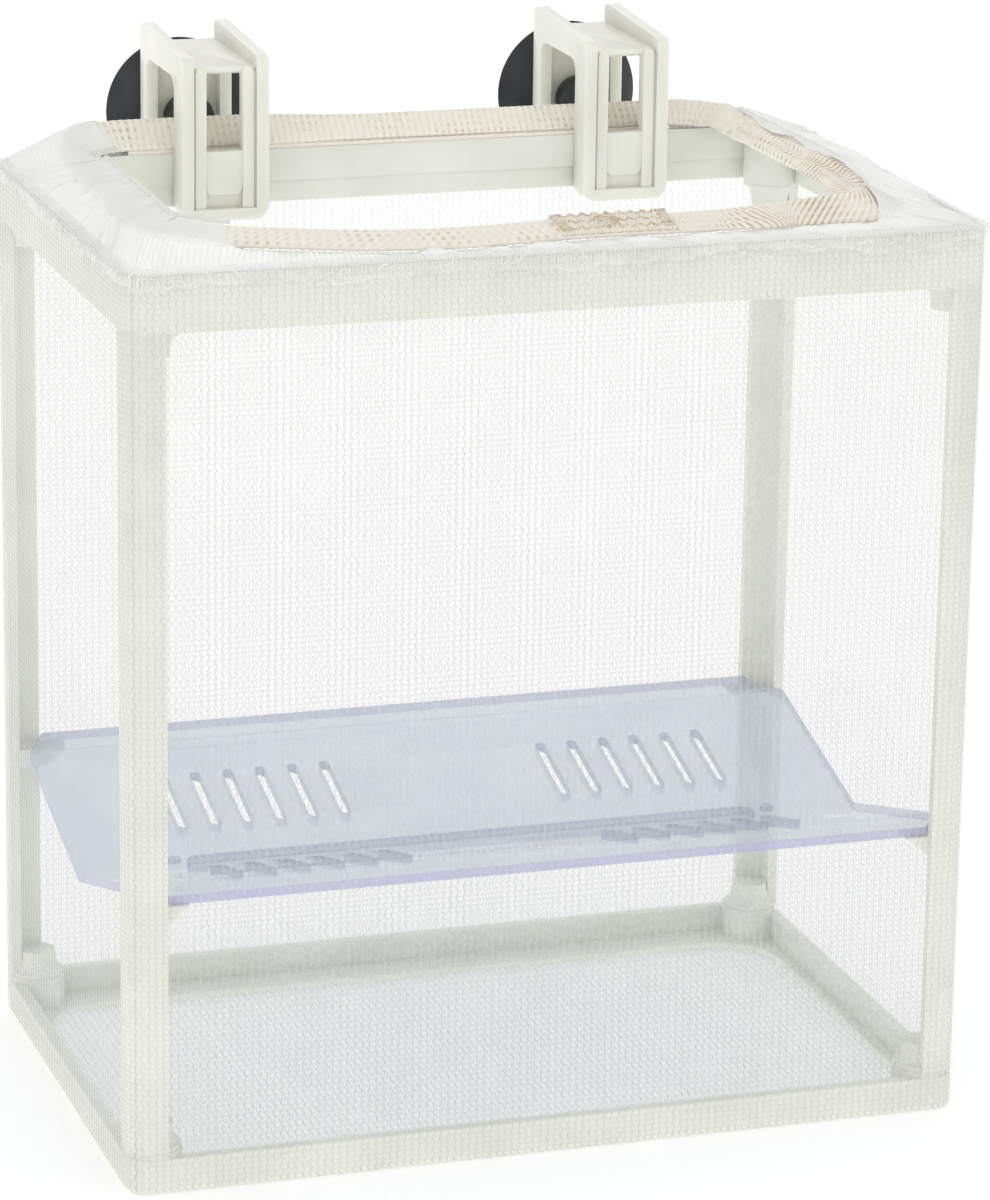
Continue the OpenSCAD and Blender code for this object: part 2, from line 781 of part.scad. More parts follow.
// Suction cup turned about its axis, which the profile holds as the y direction
module suction_cup() {
    r = cup_d / 2;
    web_front = hanger_rear - web_t - collar_gap;
    knob_front = web_front - knob_len;
    neck = neck_d / 2;
    knob = knob_d / 2;
    color(cup_black)
    translate([0, 0, cup_z])
    rotate([-90, 0, 0])
    rotate_extrude($fn = 72)
        polygon(concat(
            [[0, knob_front], [knob - 1, knob_front], [knob - 0.3, knob_front + 0.3],
             [knob, knob_front + 1], [knob, web_front - 0.8], [knob - 0.8, web_front],
             [neck, web_front], [neck, cup_back], [neck + cup_taper, cup_back],
             [r * 0.62, cup_back + 1.6], [r * 0.86, cup_back + 3], [r, cup_rim - 0.6],
             [r, cup_rim], [r - cup_lip, cup_rim]],
            [[r * 0.84, cup_rim - 0.9], [r * 0.58, cup_rim - 2.1],
             [r * 0.3, cup_rim - 3.1], [0, cup_rim - cup_hollow]]));
}

module suction_cup_left() { translate([left_x, 0, 0]) suction_cup(); }
module suction_cup_right() { translate([right_x, 0, 0]) suction_cup(); }

top_ring();
bottom_ring();
post_front_left();
post_front_right();
post_rear_left();
post_rear_right();
net_front();
net_rear();
net_left();
net_right();
net_floor();
net_corner_front_left();
net_corner_front_right();
net_corner_rear_left();
net_corner_rear_right();
cuff_front();
cuff_rear();
cuff_left();
cuff_right();
elastic_band();
elastic_joint();
divider();
hanger_left();
hanger_right();
suction_cup_left();
suction_cup_right();
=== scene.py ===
import bpy
import bmesh
import math
import numpy as np
from mathutils import Matrix, Vector


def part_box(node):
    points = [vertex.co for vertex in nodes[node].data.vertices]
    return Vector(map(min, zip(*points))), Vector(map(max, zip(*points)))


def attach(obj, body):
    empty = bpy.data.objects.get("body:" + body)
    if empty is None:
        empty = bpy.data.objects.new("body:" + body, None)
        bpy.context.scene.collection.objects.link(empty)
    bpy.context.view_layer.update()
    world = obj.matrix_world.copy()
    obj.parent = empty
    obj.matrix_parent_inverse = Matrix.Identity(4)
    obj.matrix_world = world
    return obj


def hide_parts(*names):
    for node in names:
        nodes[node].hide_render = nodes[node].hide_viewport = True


# Fish breeding box: a net bag on a plastic frame, an elastic in its mouth, a clear divider
# inside and two hangers with suction cups. Metres, -Y is the front.

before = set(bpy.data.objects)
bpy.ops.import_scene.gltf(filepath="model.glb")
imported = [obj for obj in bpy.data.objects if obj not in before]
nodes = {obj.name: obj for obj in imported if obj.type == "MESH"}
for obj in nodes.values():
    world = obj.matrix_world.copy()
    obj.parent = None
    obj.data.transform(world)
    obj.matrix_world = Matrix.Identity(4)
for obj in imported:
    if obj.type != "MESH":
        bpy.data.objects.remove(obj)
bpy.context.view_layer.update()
scene = bpy.context.scene
scene.view_settings.view_transform = "Standard"
mm = 0.001

# sizes of the box, read from the solids
boxLow, boxHigh = Vector(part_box("net_left")[0]), Vector(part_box("net_right")[1])
boxW = boxHigh.x - boxLow.x
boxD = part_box("net_rear")[1][1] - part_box("net_front")[0][1]
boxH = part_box("cuff_front")[1][2]


# Camera: at the photograph's place, turned by its own two axes
cameraSettings = {
    "place": (-0.29392, -0.91494, 0.37512),
    "right": (0.9521, -0.3054, 0.0148),
    "up": (0.0723, 0.2720, 0.9596),
    "lens": 155.75,
}

cameraData = bpy.data.cameras.new("Camera")
cameraData.lens = cameraSettings["lens"]
cameraData.clip_start, cameraData.clip_end = 0.05, 20
camera = bpy.data.objects.new("Camera", cameraData)
scene.collection.objects.link(camera)
cameraRight = Vector(cameraSettings["right"]).normalized()
cameraBack = cameraRight.cross(Vector(cameraSettings["up"])).normalized()
cameraUp = cameraBack.cross(cameraRight)
camera.matrix_world = Matrix.Translation(cameraSettings["place"]) @ Matrix(
    (cameraRight, cameraUp, cameraBack)).transposed().to_4x4()
scene.camera = camera


def put(tree, kind, inputs=None, **settings):
    # a node with its settings, its inputs given as values or as sockets to link
    node = tree.nodes.new(kind)
    for key, value in settings.items():
        setattr(node, key, value)
    for key, value in (inputs or {}).items():
        if isinstance(value, bpy.types.NodeSocket):
            tree.links.new(value, node.inputs[key])
        else:
            node.inputs[key].default_value = value
    return node


def calc(tree, operation, a, b=0.0, c=0.0):
    return put(tree, "ShaderNodeMath", {0: a, 1: b, 2: c}, operation=operation).outputs[0]


def hexColour(text, alpha=1.0):
    # sRGB hex to the linear colour that the sockets take
    values = [int(text[i:i + 2], 16) / 255 for i in (0, 2, 4)]
    return tuple(v / 12.92 if v <= 0.04045 else ((v + 0.055) / 1.055) ** 2.4
                 for v in values) + (alpha,)


def newMaterial(name, roughness=0.5, **sockets):
    material = bpy.data.materials.new(name)
    material.use_nodes = True
    tree = material.node_tree
    shader = tree.nodes["Principled BSDF"]
    shader.inputs["Roughness"].default_value = roughness
    for key, value in sockets.items():
        shader.inputs[key.replace("_", " ")].default_value = value
    return material, tree, shader


def objectNoise(tree, scale, detail=3.0, source="Object", stretch=(1, 1, 1)):
    place = put(tree, "ShaderNodeTexCoord").outputs[source]
    mapping = put(tree, "ShaderNodeMapping", {"Vector": place, "Scale": stretch})
    return put(tree, "ShaderNodeTexNoise",
               {"Vector": mapping.outputs[0], "Scale": scale, "Detail": detail}).outputs["Fac"]


def ramp(tree, factor, stops):
    node = put(tree, "ShaderNodeValToRGB", {"Fac": factor})
    node.color_ramp.elements[0].position, node.color_ramp.elements[0].color = stops[0]
    node.color_ramp.elements[1].position, node.color_ramp.elements[1].color = stops[-1]
    for place, colour in stops[1:-1]:
        node.color_ramp.elements.new(place).color = colour
    return node.outputs["Color"]


def addBump(tree, shader, height, strength, distance):
    bump = put(tree, "ShaderNodeBump",
               {"Height": height, "Strength": strength, "Distance": distance})
    tree.links.new(bump.outputs[0], shader.inputs["Normal"])


# Ivory plastic of the frame: faint mottling, slight gloss, a fine moulded grain
def ivoryPlastic(name, light, dark, gloss=0.42, through=0.15):
    material, tree, shader = newMaterial(name, gloss, Subsurface_Weight=through,
                                         Subsurface_Radius=(1, 1, 0.8),
                                         Subsurface_Scale=0.002, Coat_Weight=0.05)
    broad = objectNoise(tree, 55)
    tree.links.new(ramp(tree, broad, [(0.35, hexColour(dark)), (0.65, hexColour(light))]),
                   shader.inputs["Base Color"])
    tree.links.new(put(tree, "ShaderNodeMapRange", {
        "Value": objectNoise(tree, 240), "To Min": gloss - 0.07, "To Max": gloss + 0.08,
    }).outputs[0], shader.inputs["Roughness"])
    addBump(tree, shader, objectNoise(tree, 1400, 2), 0.12, 0.0001)
    return material


# White thread of the net, fine and partly see-through, with a twisted fibre; the thin filling
# between the threads is clearer
def netThread(name, clear, light, dark, gauze=0.8, through=0.5):
    material, tree, shader = newMaterial(name, 0.62, Sheen_Weight=0.2, Sheen_Roughness=0.4)
    tree.links.new(ramp(tree, objectNoise(tree, 90), [
        (0.3, hexColour(dark)), (0.7, hexColour(light))]), shader.inputs["Base Color"])
    addBump(tree, shader, objectNoise(tree, 5200, 1), 0.3, 0.00004)
    backlit = put(tree, "ShaderNodeBsdfTranslucent", {"Color": hexColour(light)})
    cloth = put(tree, "ShaderNodeMixShader", {
        "Fac": through, 1: shader.outputs[0], 2: backlit.outputs[0]})
    filling = put(tree, "ShaderNodeAttribute", attribute_name="filling").outputs["Fac"]
    veil = put(tree, "ShaderNodeMixShader", {
        "Fac": calc(tree, "MULTIPLY_ADD", filling, gauze - clear, clear), 1: cloth.outputs[0], 2: put(tree, "ShaderNodeBsdfTransparent").outputs[0]})
    tree.links.new(veil.outputs[0], tree.nodes["Material Output"].inputs["Surface"])
    return material


# Cream knitted elastic, coloured from its own map of loop height: painted shade darkens it to tan
# where the map is low, in the gaps between the loops, and a painted highlight lightens the loop tops
def creamElastic(name, light, dark, toneAndLoopHighlight="EFECE2"):
    material, tree, shader = newMaterial(name, 0.75, Sheen_Weight=0.2)
    depth = put(tree, "ShaderNodeAttribute", attribute_name="loopHeight").outputs["Fac"]
    speckle = calc(tree, "MULTIPLY", objectNoise(tree, 900), 0.5)
    height = calc(tree, "ADD", depth, calc(tree, "SUBTRACT", speckle, 0.25))
    # painted shade at the low end of the ramp, a painted highlight at its high end; the fine speckle
    # is random tone, and on the stitches the height is random, so there the ramp gives random tone
    tree.links.new(ramp(tree, height, [
        (0.12, hexColour(dark)), (0.5, hexColour(light)), (0.9, hexColour(toneAndLoopHighlight))]),
        shader.inputs["Base Color"])
    addBump(tree, shader, objectNoise(tree, 4200, 2), 0.3, 0.00006)
    return material


# Clear pale blue sheet: faces let most light through; painted refraction darkens its cut edges and
# bends blue-violet, and a painted glow lightens its outer cut edges violet
def clearBlue():
    material, tree, shader = newMaterial("clearBlue", 0.08, IOR=1.49, Specular_IOR_Level=0.6)
    normal = put(tree, "ShaderNodeNewGeometry").outputs["Normal"]
    up = put(tree, "ShaderNodeSeparateXYZ", {"Vector": normal}).outputs["Z"]
    # steep faces, the cut edges of the sheet and of its slots, take the painted refraction
    edge = calc(tree, "SUBTRACT", 1.0, put(tree, "ShaderNodeMapRange", {
        "Value": calc(tree, "ABSOLUTE", up), "From Min": 0.45, "From Max": 0.75}).outputs[0])
    place = put(tree, "ShaderNodeSeparateXYZ", {
        "Vector": put(tree, "ShaderNodeTexCoord").outputs["Object"]}).outputs
    # the outer cut edges also take a painted violet glow
    outer = calc(tree, "MAXIMUM",
                 calc(tree, "GREATER_THAN", calc(tree, "ABSOLUTE", place["Y"]), 0.0498),
                 calc(tree, "GREATER_THAN", calc(tree, "ABSOLUTE", place["X"]), 0.0786))
    rim = calc(tree, "MULTIPLY", edge, outer)
    tint = ramp(tree, objectNoise(tree, 38), [
        (0.3, hexColour("BAC9DC")), (0.7, hexColour("C5D2E1"))])
    # a faint painted refraction line where the sheet is bent
    bend = 0.0
    for fold in (-42.9, 38.9):
        near = calc(tree, "ABSOLUTE", calc(tree, "SUBTRACT", place["Y"], fold * mm))
        bend = calc(tree, "MAXIMUM", bend, calc(tree, "LESS_THAN", near, 0.3 * mm))
    line = calc(tree, "MAXIMUM", edge, calc(tree, "MULTIPLY", bend, 0.7))
    # painted refraction: dark blue-violet on the cut edges and along the bends
    tintWithPaintedLines = put(tree, "ShaderNodeMix", {6: tint, 7: hexColour("8F95B6"), 0: line}, data_type="RGBA")
    # painted glow: violet on the outer cut edges
    colour = put(tree, "ShaderNodeMix", {
        6: tintWithPaintedLines.outputs[2], 7: hexColour("ADA9D4"), 0: rim}, data_type="RGBA")
    tree.links.new(colour.outputs[2], shader.inputs["Base Color"])
    # the painted refraction lines and glow are also made more opaque
    alpha = put(tree, "ShaderNodeMapRange", {"Value": line, "To Min": 0.42, "To Max": 0.62})
    tree.links.new(calc(tree, "ADD", alpha.outputs[0], calc(tree, "MULTIPLY", rim, 0.15)),
                   shader.inputs["Alpha"])
    return material


# Black rubber of the cups, slightly dusty
def cupRubber():
    material, tree, shader = newMaterial("cupRubber", 0.4, Specular_IOR_Level=0.4)
    tree.links.new(ramp(tree, objectNoise(tree, 160), [
        (0.35, hexColour("1B1D21")), (0.7, hexColour("2B2E33"))]), shader.inputs["Base Color"])
    tree.links.new(put(tree, "ShaderNodeMapRange", {
        "Value": objectNoise(tree, 420), "To Min": 0.32, "To Max": 0.55,
    }).outputs[0], shader.inputs["Roughness"])
    addBump(tree, shader, objectNoise(tree, 2400, 2), 0.15, 0.00008)
    return material


framePlastic = ivoryPlastic("framePlastic", "E3E4DB", "DDDED4")
hangerPlastic = ivoryPlastic("hangerPlastic", "E4E4DB", "DEDED4", 0.36, 0.5)
# the walls' and floor's thread is painted grey with shade; the cuff, frill and hem threads, copies
# of the same white thread, stay near white
shadedNetThread = netThread("netThread", 0.73, "DCDDDB", "D2D3D1", 0.8)
cuffMaterial = netThread("cuffThread", 0.0, "FEFEFD", "F8F8F7", 0.15, 0.03)
frillMaterial = netThread("frillThread", 0.3, "F9F9F7", "F2F2F0", 0.75, 0.3)
hemMaterial = netThread("hemThread", 0.1, "F4F4F1", "EDEEEA")
elasticMaterial = creamElastic("creamElastic", "E6E0D2", "BFA88A")
stitchMaterial = creamElastic("tanStitch", "E2D6C6", "CDB69C", "E8E0D4")
blueMaterial = clearBlue()
rubberMaterial = cupRubber()
print("materials ready")


def meshObject(name, points, faces, material):
    mesh = bpy.data.meshes.new(name)
    mesh.from_pydata([tuple(p) for p in points], [], faces)
    mesh.materials.append(material)
    mesh.update()
    thing = bpy.data.objects.new(name, mesh)
    scene.collection.objects.link(thing)
    return thing


# Rigid pieces: a merged copy of each solid with softened edges takes its place
rigidPieces = {
    "top_ring": (framePlastic, 0.35), "bottom_ring": (framePlastic, 0.35),
    "post_front_left": (framePlastic, 0.3), "post_front_right": (framePlastic, 0.3),
    "post_rear_left": (framePlastic, 0.3), "post_rear_right": (framePlastic, 0.3),
    "divider": (blueMaterial, 0.18),
    "hanger_left": (hangerPlastic, 0.32), "hanger_right": (hangerPlastic, 0.32),
    "suction_cup_left": (rubberMaterial, 0.15), "suction_cup_right": (rubberMaterial, 0.15),
}
bodyOf = {"divider": "divider", "hanger_left": "hanger_left", "hanger_right": "hanger_right",
          "suction_cup_left": "cup_left", "suction_cup_right": "cup_right"}


def softEdged(nodeName, material, radius):
    source = nodes[nodeName]
    shape = bmesh.new()
    shape.from_mesh(source.data)
    shape.transform(source.matrix_world)
    bmesh.ops.remove_doubles(shape, verts=shape.verts, dist=0.005 * mm)
    bmesh.ops.dissolve_limit(shape, angle_limit=math.radians(0.6), verts=shape.verts,
                             edges=shape.edges)
    bmesh.ops.recalc_face_normals(shape, faces=shape.faces)
    mesh = bpy.data.meshes.new(nodeName + ".soft")
    shape.to_mesh(mesh)
    shape.free()
    mesh.materials.append(material)
    mesh.shade_smooth()
    thing = bpy.data.objects.new(nodeName + ".soft", mesh)
    scene.collection.objects.link(thing)
    bevel = thing.modifiers.new("softEdges", "BEVEL")
    bevel.width = radius * mm
    bevel.segments = 2
    bevel.limit_method = "ANGLE"
    bevel.angle_limit = math.radians(35)
    bevel.harden_normals = True
    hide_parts(nodeName)
    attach(thing, bodyOf.get(nodeName, "box"))
    return thing


for nodeName, (material, radius) in rigidPieces.items():
    softEdged(nodeName, material, radius)
print("plastic and rubber pieces ready")


# Plan outline of the bag: points, outward normals and lengths round the rounded rectangle,
# anticlockwise from the middle of the front left corner
bagShape = {
    "cornerRadius": 5.5 * mm,
    "edgeRadius": 1.2 * mm,     # of the bottom and top edges
    "depth": 0.3 * mm,          # of the net's middle inside the outer faces
    "inset": 0.7 * mm,          # how far the net draws in between the posts
}


def bagOutline():
    radius = bagShape["cornerRadius"]
    points, normals = [], []
    for quarter, (sx, sy) in enumerate([(1, -1), (1, 1), (-1, 1), (-1, -1)]):
        centre = np.array([sx * (boxW / 2 - radius), sy * (boxD / 2 - radius)])
        for angle in np.radians(np.linspace(-90, 0, 13) + 90 * quarter):
            direction = np.array([math.cos(angle), math.sin(angle)])
            points.append(centre + direction * radius)
            normals.append(direction)
    middle = 6      # of the last corner's 13 points
    points = points[-13 + middle:] + points[:-13 + middle + 1]
    normals = normals[-13 + middle:] + normals[:-13 + middle + 1]
    points, normals = np.array(points), np.array(normals)
    steps = np.linalg.norm(np.diff(points, axis=0), axis=1)
    return points, normals, np.concatenate([[0], np.cumsum(steps)])


outlinePoints, outlineNormals, outlineLengths = bagOutline()
outlineTotal = outlineLengths[-1]


def alongOutline(distance):
    d = np.mod(distance, outlineTotal)
    place = np.stack([np.interp(d, outlineLengths, outlinePoints[:, k]) for k in (0, 1)], 1)
    normal = np.stack([np.interp(d, outlineLengths, outlineNormals[:, k]) for k in (0, 1)], 1)
    return place, normal / np.linalg.norm(normal, axis=1, keepdims=True)


# Side of the bag from the middle of the bottom edge to the middle of the top edge:
# inset and height at a distance, with the tilt of the outward direction
edgeRun = bagShape["edgeRadius"] * math.pi / 4
wallRun = boxH - 2 * bagShape["edgeRadius"] + 2 * edgeRun


def upWall(distance):
    r = bagShape["edgeRadius"]
    low = np.clip((edgeRun - distance) / r, 0, None)
    high = np.clip((distance - (wallRun - edgeRun)) / r, 0, None)
    bend = low + high
    inset = r * (1 - np.cos(bend))
    z = np.where(low > 0, r - r * np.sin(low),
                 np.where(high > 0, boxH - r + r * np.sin(high), distance - edgeRun + r))
    return inset, z, np.where(low > 0, -low, high)


# Knitted net: wales that zigzag up, joined by fine slanting threads, as flat cloth in XY
netKnit = {
    "pitch": 1.4 * mm,          # between wales
    "course": 2.14 * mm,        # of a full zigzag
    "waleWidth": 0.4 * mm,
    "linkWidth": 0.09 * mm,
    "swing": 0.18 * mm,
    "linkSlope": 0.45,
    "flatness": 0.45,           # rise of a thread's arch over half its width
}


def newTree(name, sockets):
    tree = bpy.data.node_groups.new(name, "GeometryNodeTree")
    tree.interface.new_socket("Geometry", in_out="OUTPUT", socket_type="NodeSocketGeometry")
    tree.interface.new_socket("Geometry", in_out="INPUT", socket_type="NodeSocketGeometry")
    for label, kind in sockets.items():
        tree.interface.new_socket(label, in_out="INPUT", socket_type="NodeSocket" + kind)
    return tree, put(tree, "NodeGroupInput").outputs, put(tree, "NodeGroupOutput")


def knitTree():
    tree, given, result = newTree("knittedNet", {
        "Wales": "Int", "Courses": "Int", "Pitch": "Float", "Course": "Float",
        "Wale Width": "Float", "Link Width": "Float", "Swing": "Float", "Link Slope": "Float",
        "Flatness": "Float", "Thread": "Material"})
    rows = calc(tree, "MULTIPLY", given["Courses"], 2.0)
    rowStep = calc(tree, "DIVIDE", given["Course"], 2.0)
    height = calc(tree, "MULTIPLY", rows, rowStep)

    # the zigzag as a shift at a height, the links' slant turns over every half row
    place = put(tree, "ShaderNodeSeparateXYZ", {"Vector": put(
        tree, "GeometryNodeInputPosition").outputs[0]}).outputs["Y"]
    phase = calc(tree, "MULTIPLY", calc(tree, "DIVIDE", place, rowStep), math.pi)
    shift = put(tree, "ShaderNodeCombineXYZ", {"X": calc(
        tree, "MULTIPLY", calc(tree, "COSINE", phase), given["Swing"])})
    slant = calc(tree, "MULTIPLY", given["Link Slope"],
                 calc(tree, "COSINE", calc(tree, "MULTIPLY", phase, 2.0)))

    def ribbon(line, width, sides):
        turned = put(tree, "GeometryNodeSetCurveNormal", {"Curve": line}, mode="Z_UP")
        arch = put(tree, "GeometryNodeCurveArc", {
            "Resolution": sides + 1, "Radius": calc(tree, "DIVIDE", width, 2.0),
            "Start Angle": 0.0, "Sweep Angle": math.pi}, mode="RADIUS")
        flat = put(tree, "GeometryNodeTransform", {
            "Geometry": arch.outputs[0],
            "Scale": put(tree, "ShaderNodeCombineXYZ", {
                "X": 1.0, "Y": given["Flatness"], "Z": 1.0}).outputs[0]})
        return put(tree, "GeometryNodeCurveToMesh", {
            "Curve": turned.outputs[0], "Profile Curve": flat.outputs[0]}).outputs[0]

    top = put(tree, "ShaderNodeCombineXYZ", {"Y": height})
    wale = put(tree, "GeometryNodeCurvePrimitiveLine", {"Start": (0, 0, 0), "End": top.outputs[0]})
    wale = put(tree, "GeometryNodeResampleCurve", {
        "Curve": wale.outputs[0], "Count": calc(tree, "ADD", rows, 1.0)})
    wale = put(tree, "GeometryNodeSetPosition", {
        "Geometry": wale.outputs[0], "Offset": shift.outputs[0]})
    across = put(tree, "ShaderNodeCombineXYZ", {"X": given["Pitch"]})
    line = put(tree, "GeometryNodeMeshLine", {
        "Count": given["Wales"], "Start Location": (0, 0, 0), "Offset": across.outputs[0]})
    wales = put(tree, "GeometryNodeInstanceOnPoints", {
        "Points": line.outputs[0], "Instance": ribbon(wale.outputs[0], given["Wale Width"], 2)})

    gaps = calc(tree, "SUBTRACT", given["Wales"], 1.0)
    width = calc(tree, "MULTIPLY", calc(tree, "SUBTRACT", gaps, 1.0), given["Pitch"])
    grid = put(tree, "GeometryNodeMeshGrid", {
        "Size X": width, "Size Y": height, "Vertices X": gaps,
        "Vertices Y": calc(tree, "ADD", calc(tree, "MULTIPLY", rows, 2.0), 1.0)})
    half = put(tree, "ShaderNodeCombineXYZ", {
        "X": calc(tree, "DIVIDE", width, 2.0), "Y": calc(tree, "DIVIDE", height, 2.0)})
    grid = put(tree, "GeometryNodeSetPosition", {
        "Geometry": grid.outputs[0], "Offset": half.outputs[0]})
    grid = put(tree, "GeometryNodeSetPosition", {
        "Geometry": grid.outputs[0], "Offset": shift.outputs[0]})
    link = put(tree, "GeometryNodeCurvePrimitiveLine", {
        "Start": (0, 0, 0), "End": across.outputs[0]})
    turn = put(tree, "ShaderNodeCombineXYZ", {"Z": slant})
    links = put(tree, "GeometryNodeInstanceOnPoints", {
        "Points": grid.outputs[0], "Instance": ribbon(link.outputs[0], given["Link Width"], 1),
        "Rotation": turn.outputs[0]})
    # a gauze fills the gaps, marked for the material
    gauze = put(tree, "GeometryNodeMeshGrid", {
        "Size X": calc(tree, "MULTIPLY", gaps, given["Pitch"]), "Size Y": height,
        "Vertices X": given["Wales"], "Vertices Y": calc(tree, "ADD", rows, 1.0)})
    middle = put(tree, "ShaderNodeCombineXYZ", {
        "X": calc(tree, "DIVIDE", calc(tree, "MULTIPLY", gaps, given["Pitch"]), 2.0),
        "Y": calc(tree, "DIVIDE", height, 2.0), "Z": -0.03 * mm})
    gauze = put(tree, "GeometryNodeSetPosition", {
        "Geometry": gauze.outputs[0], "Offset": middle.outputs[0]})
    gauze = put(tree, "GeometryNodeStoreNamedAttribute", {
        "Geometry": gauze.outputs[0], "Name": "filling", "Value": 1.0})
    both = put(tree, "GeometryNodeJoinGeometry")
    tree.links.new(gauze.outputs[0], both.inputs[0])
    tree.links.new(wales.outputs[0], both.inputs[0])
    tree.links.new(links.outputs[0], both.inputs[0])
    real = put(tree, "GeometryNodeRealizeInstances", {"Geometry": both.outputs[0]})
    finish = put(tree, "GeometryNodeSetMaterial", {
        "Geometry": real.outputs[0], "Material": given["Thread"]})
    tree.links.new(finish.outputs[0], result.inputs[0])
    return tree


knit = knitTree()


def grow(name, tree, values):
    # a plain mesh from a tree and its named inputs
    seed = bpy.data.objects.new(name, bpy.data.meshes.new(name + "Seed"))
    scene.collection.objects.link(seed)
    modifier = seed.modifiers.new("grow", "NODES")
    modifier.node_group = tree
    for item in tree.interface.items_tree:
        if item.in_out == "INPUT" and item.name in values:
            modifier[item.identifier] = values[item.name]
    bpy.context.view_layer.update()
    mesh = bpy.data.meshes.new_from_object(
        seed.evaluated_get(bpy.context.evaluated_depsgraph_get()))
    seed.modifiers.remove(modifier)
    seed.data = mesh
    mesh.name = name
    return seed


def knitSheet(name, width, height, pitch=netKnit["pitch"], course=netKnit["course"], thin=1.0,
              thread=shadedNetThread):
    # flat net of about the asked size, scaled to it exactly
    wales = max(3, round(width / pitch) + 1)
    courses = max(1, round(height / course))
    sheet = grow(name, knit, {
        "Wales": wales, "Courses": courses, "Pitch": width / (wales - 1),
        "Course": height / courses, "Wale Width": netKnit["waleWidth"] * thin,
        "Link Width": netKnit["linkWidth"] * thin, "Swing": netKnit["swing"] * thin,
        "Link Slope": netKnit["linkSlope"] * course / netKnit["course"],
        "Flatness": netKnit["flatness"], "Thread": thread})
    return sheet


def readPoints(thing):
    flat = np.empty(len(thing.data.vertices) * 3)
    thing.data.vertices.foreach_get("co", flat)
    return flat.reshape(-1, 3)


def writePoints(thing, points):
    thing.data.vertices.foreach_set("co", points.ravel())
    thing.data.shade_smooth()
    thing.data.update()


def waves(u, v, size, seed):
    # smooth uneven ripple of about 1, from a few crossed waves
    dice = np.random.default_rng(seed)
    total = np.zeros(len(u))
    for _ in range(7):
        angle, phase, scale = dice.uniform(0, math.pi), dice.uniform(0, 6.28), dice.uniform(0.6, 1.6)
        total += np.sin((u * math.cos(angle) + v * math.sin(angle)) * 6.28 / (size * scale) + phase)
    return total / 7 ** 0.5


def bell(x, low, high):
    # 0 outside low to high, 1 in the middle, smooth between
    t = np.clip((x - low) / (high - low), 0, 1)
    return np.sin(t * math.pi) ** 0.6


# Walls of the bag: each panel runs between the middles of two upright corners
def wallPanel(name, side, cadNames):
    straight = (boxW if side % 2 == 0 else boxD) - 2 * bagShape["cornerRadius"]
    corner = bagShape["cornerRadius"] * math.pi / 2
    width = straight + corner
    start = {0: 0.0, 1: boxW, 2: boxW + boxD, 3: 2 * boxW + boxD}[side]
    start -= side * (2 * bagShape["cornerRadius"] - corner)
    panel = knitSheet(name, width, wallRun)
    flat = readPoints(panel)
    u, v, rise = flat[:, 0], flat[:, 1], flat[:, 2]
    place, normal = alongOutline(start + u)
    inset, z, tilt = upWall(v)
    window = bell(u, 0.012, width - 0.012) * bell(z, 0.012, boxH - 0.012)
    loose = 0.10 * mm * waves(u, v, 0.03, 10 + side) * np.clip(window * 3, 0.25, 1)
    depth = bagShape["depth"] + inset + bagShape["inset"] * window - loose
    points = np.empty_like(flat)
    points[:, :2] = place - normal * depth[:, None] + normal * (rise * np.cos(tilt))[:, None]
    points[:, 2] = z + rise * np.sin(tilt)
    writePoints(panel, points)
    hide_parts(*cadNames)
    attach(panel, "box")
    return panel


wallPanel("netFront", 0, ["net_front", "net_corner_front_left"])
wallPanel("netRight", 1, ["net_right", "net_corner_front_right"])
wallPanel("netRear", 2, ["net_rear", "net_corner_rear_right"])
wallPanel("netLeft", 3, ["net_left", "net_corner_rear_left"])
print("net walls ready")


# Floor of the bag, with its edges turned up to meet the walls
def floorPanel():
    r = bagShape["edgeRadius"]
    width, depth = boxW - 2 * r + 2 * edgeRun, boxD - 2 * r + 2 * edgeRun
    panel = knitSheet("netFloor", width, depth)
    flat = readPoints(panel)
    points = np.empty_like(flat)
    points[:, 2] = bagShape["depth"] - flat[:, 2]
    for axis, run, size in ((0, width, boxW), (1, depth, boxD)):
        near = flat[:, axis] - run / 2
        bend = np.clip((np.abs(near) - (run / 2 - edgeRun)) / r, 0, None)
        points[:, axis] = np.where(bend > 0, np.sign(near) * (size / 2 - r + r * np.sin(bend)
                                   - bagShape["depth"] * bend), near)
        points[:, 2] += r * (1 - np.cos(bend)) * (points[:, 2] < r)
    writePoints(panel, points)
    shape = bmesh.new()
    shape.from_mesh(panel.data)
    radius = bagShape["cornerRadius"]
    spare = []
    for face in shape.faces:
        x, y, _ = face.calc_center_median()
        over = Vector((max(0, abs(x) - boxW / 2 + radius), max(0, abs(y) - boxD / 2 + radius)))
        if over.length > radius - 0.6 * mm:
            spare.append(face)
    bmesh.ops.delete(shape, geom=spare, context="FACES")
    bmesh.ops.reverse_faces(shape, faces=shape.faces)
    shape.to_mesh(panel.data)
    shape.free()
    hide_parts("net_floor")
    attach(panel, "box")


floorPanel()
print("net floor ready")


# Middle line of the elastic round the mouth, with its width and lean at each point
mouthShape = {
    "marginLeft": 13 * mm, "marginRight": 18.5 * mm, "marginFront": 7.8 * mm,
    "marginFrontRight": 15.5 * mm, "cornerSide": 23 * mm, "cornerMid": 8 * mm,
    "cornerStep": 12 * mm, "cornerRun": 37 * mm, "frontRun": 18 * mm, "frontSlope": 2.6 * mm,
    "rearOut": 0.19 * mm,       # of the rear stretch's middle past the rear wall
    "rearSink": 0.6 * mm,
    "width": 8.5 * mm, "rearWidth": 6.2 * mm, "thickness": 1.3 * mm,
    "frontLean": 12, "rightLean": 30, "rearLean": 45,
    "twistLeft": (-24 * mm, -3 * mm),   # past the rear, where the lean changes
    "twistRight": (10 * mm, 36 * mm),   # past the front
    "twistFront": 40 * mm,
}


def smoothStep(t):
    t = np.clip(t, 0, 1)
    return t * t * (3 - 2 * t)


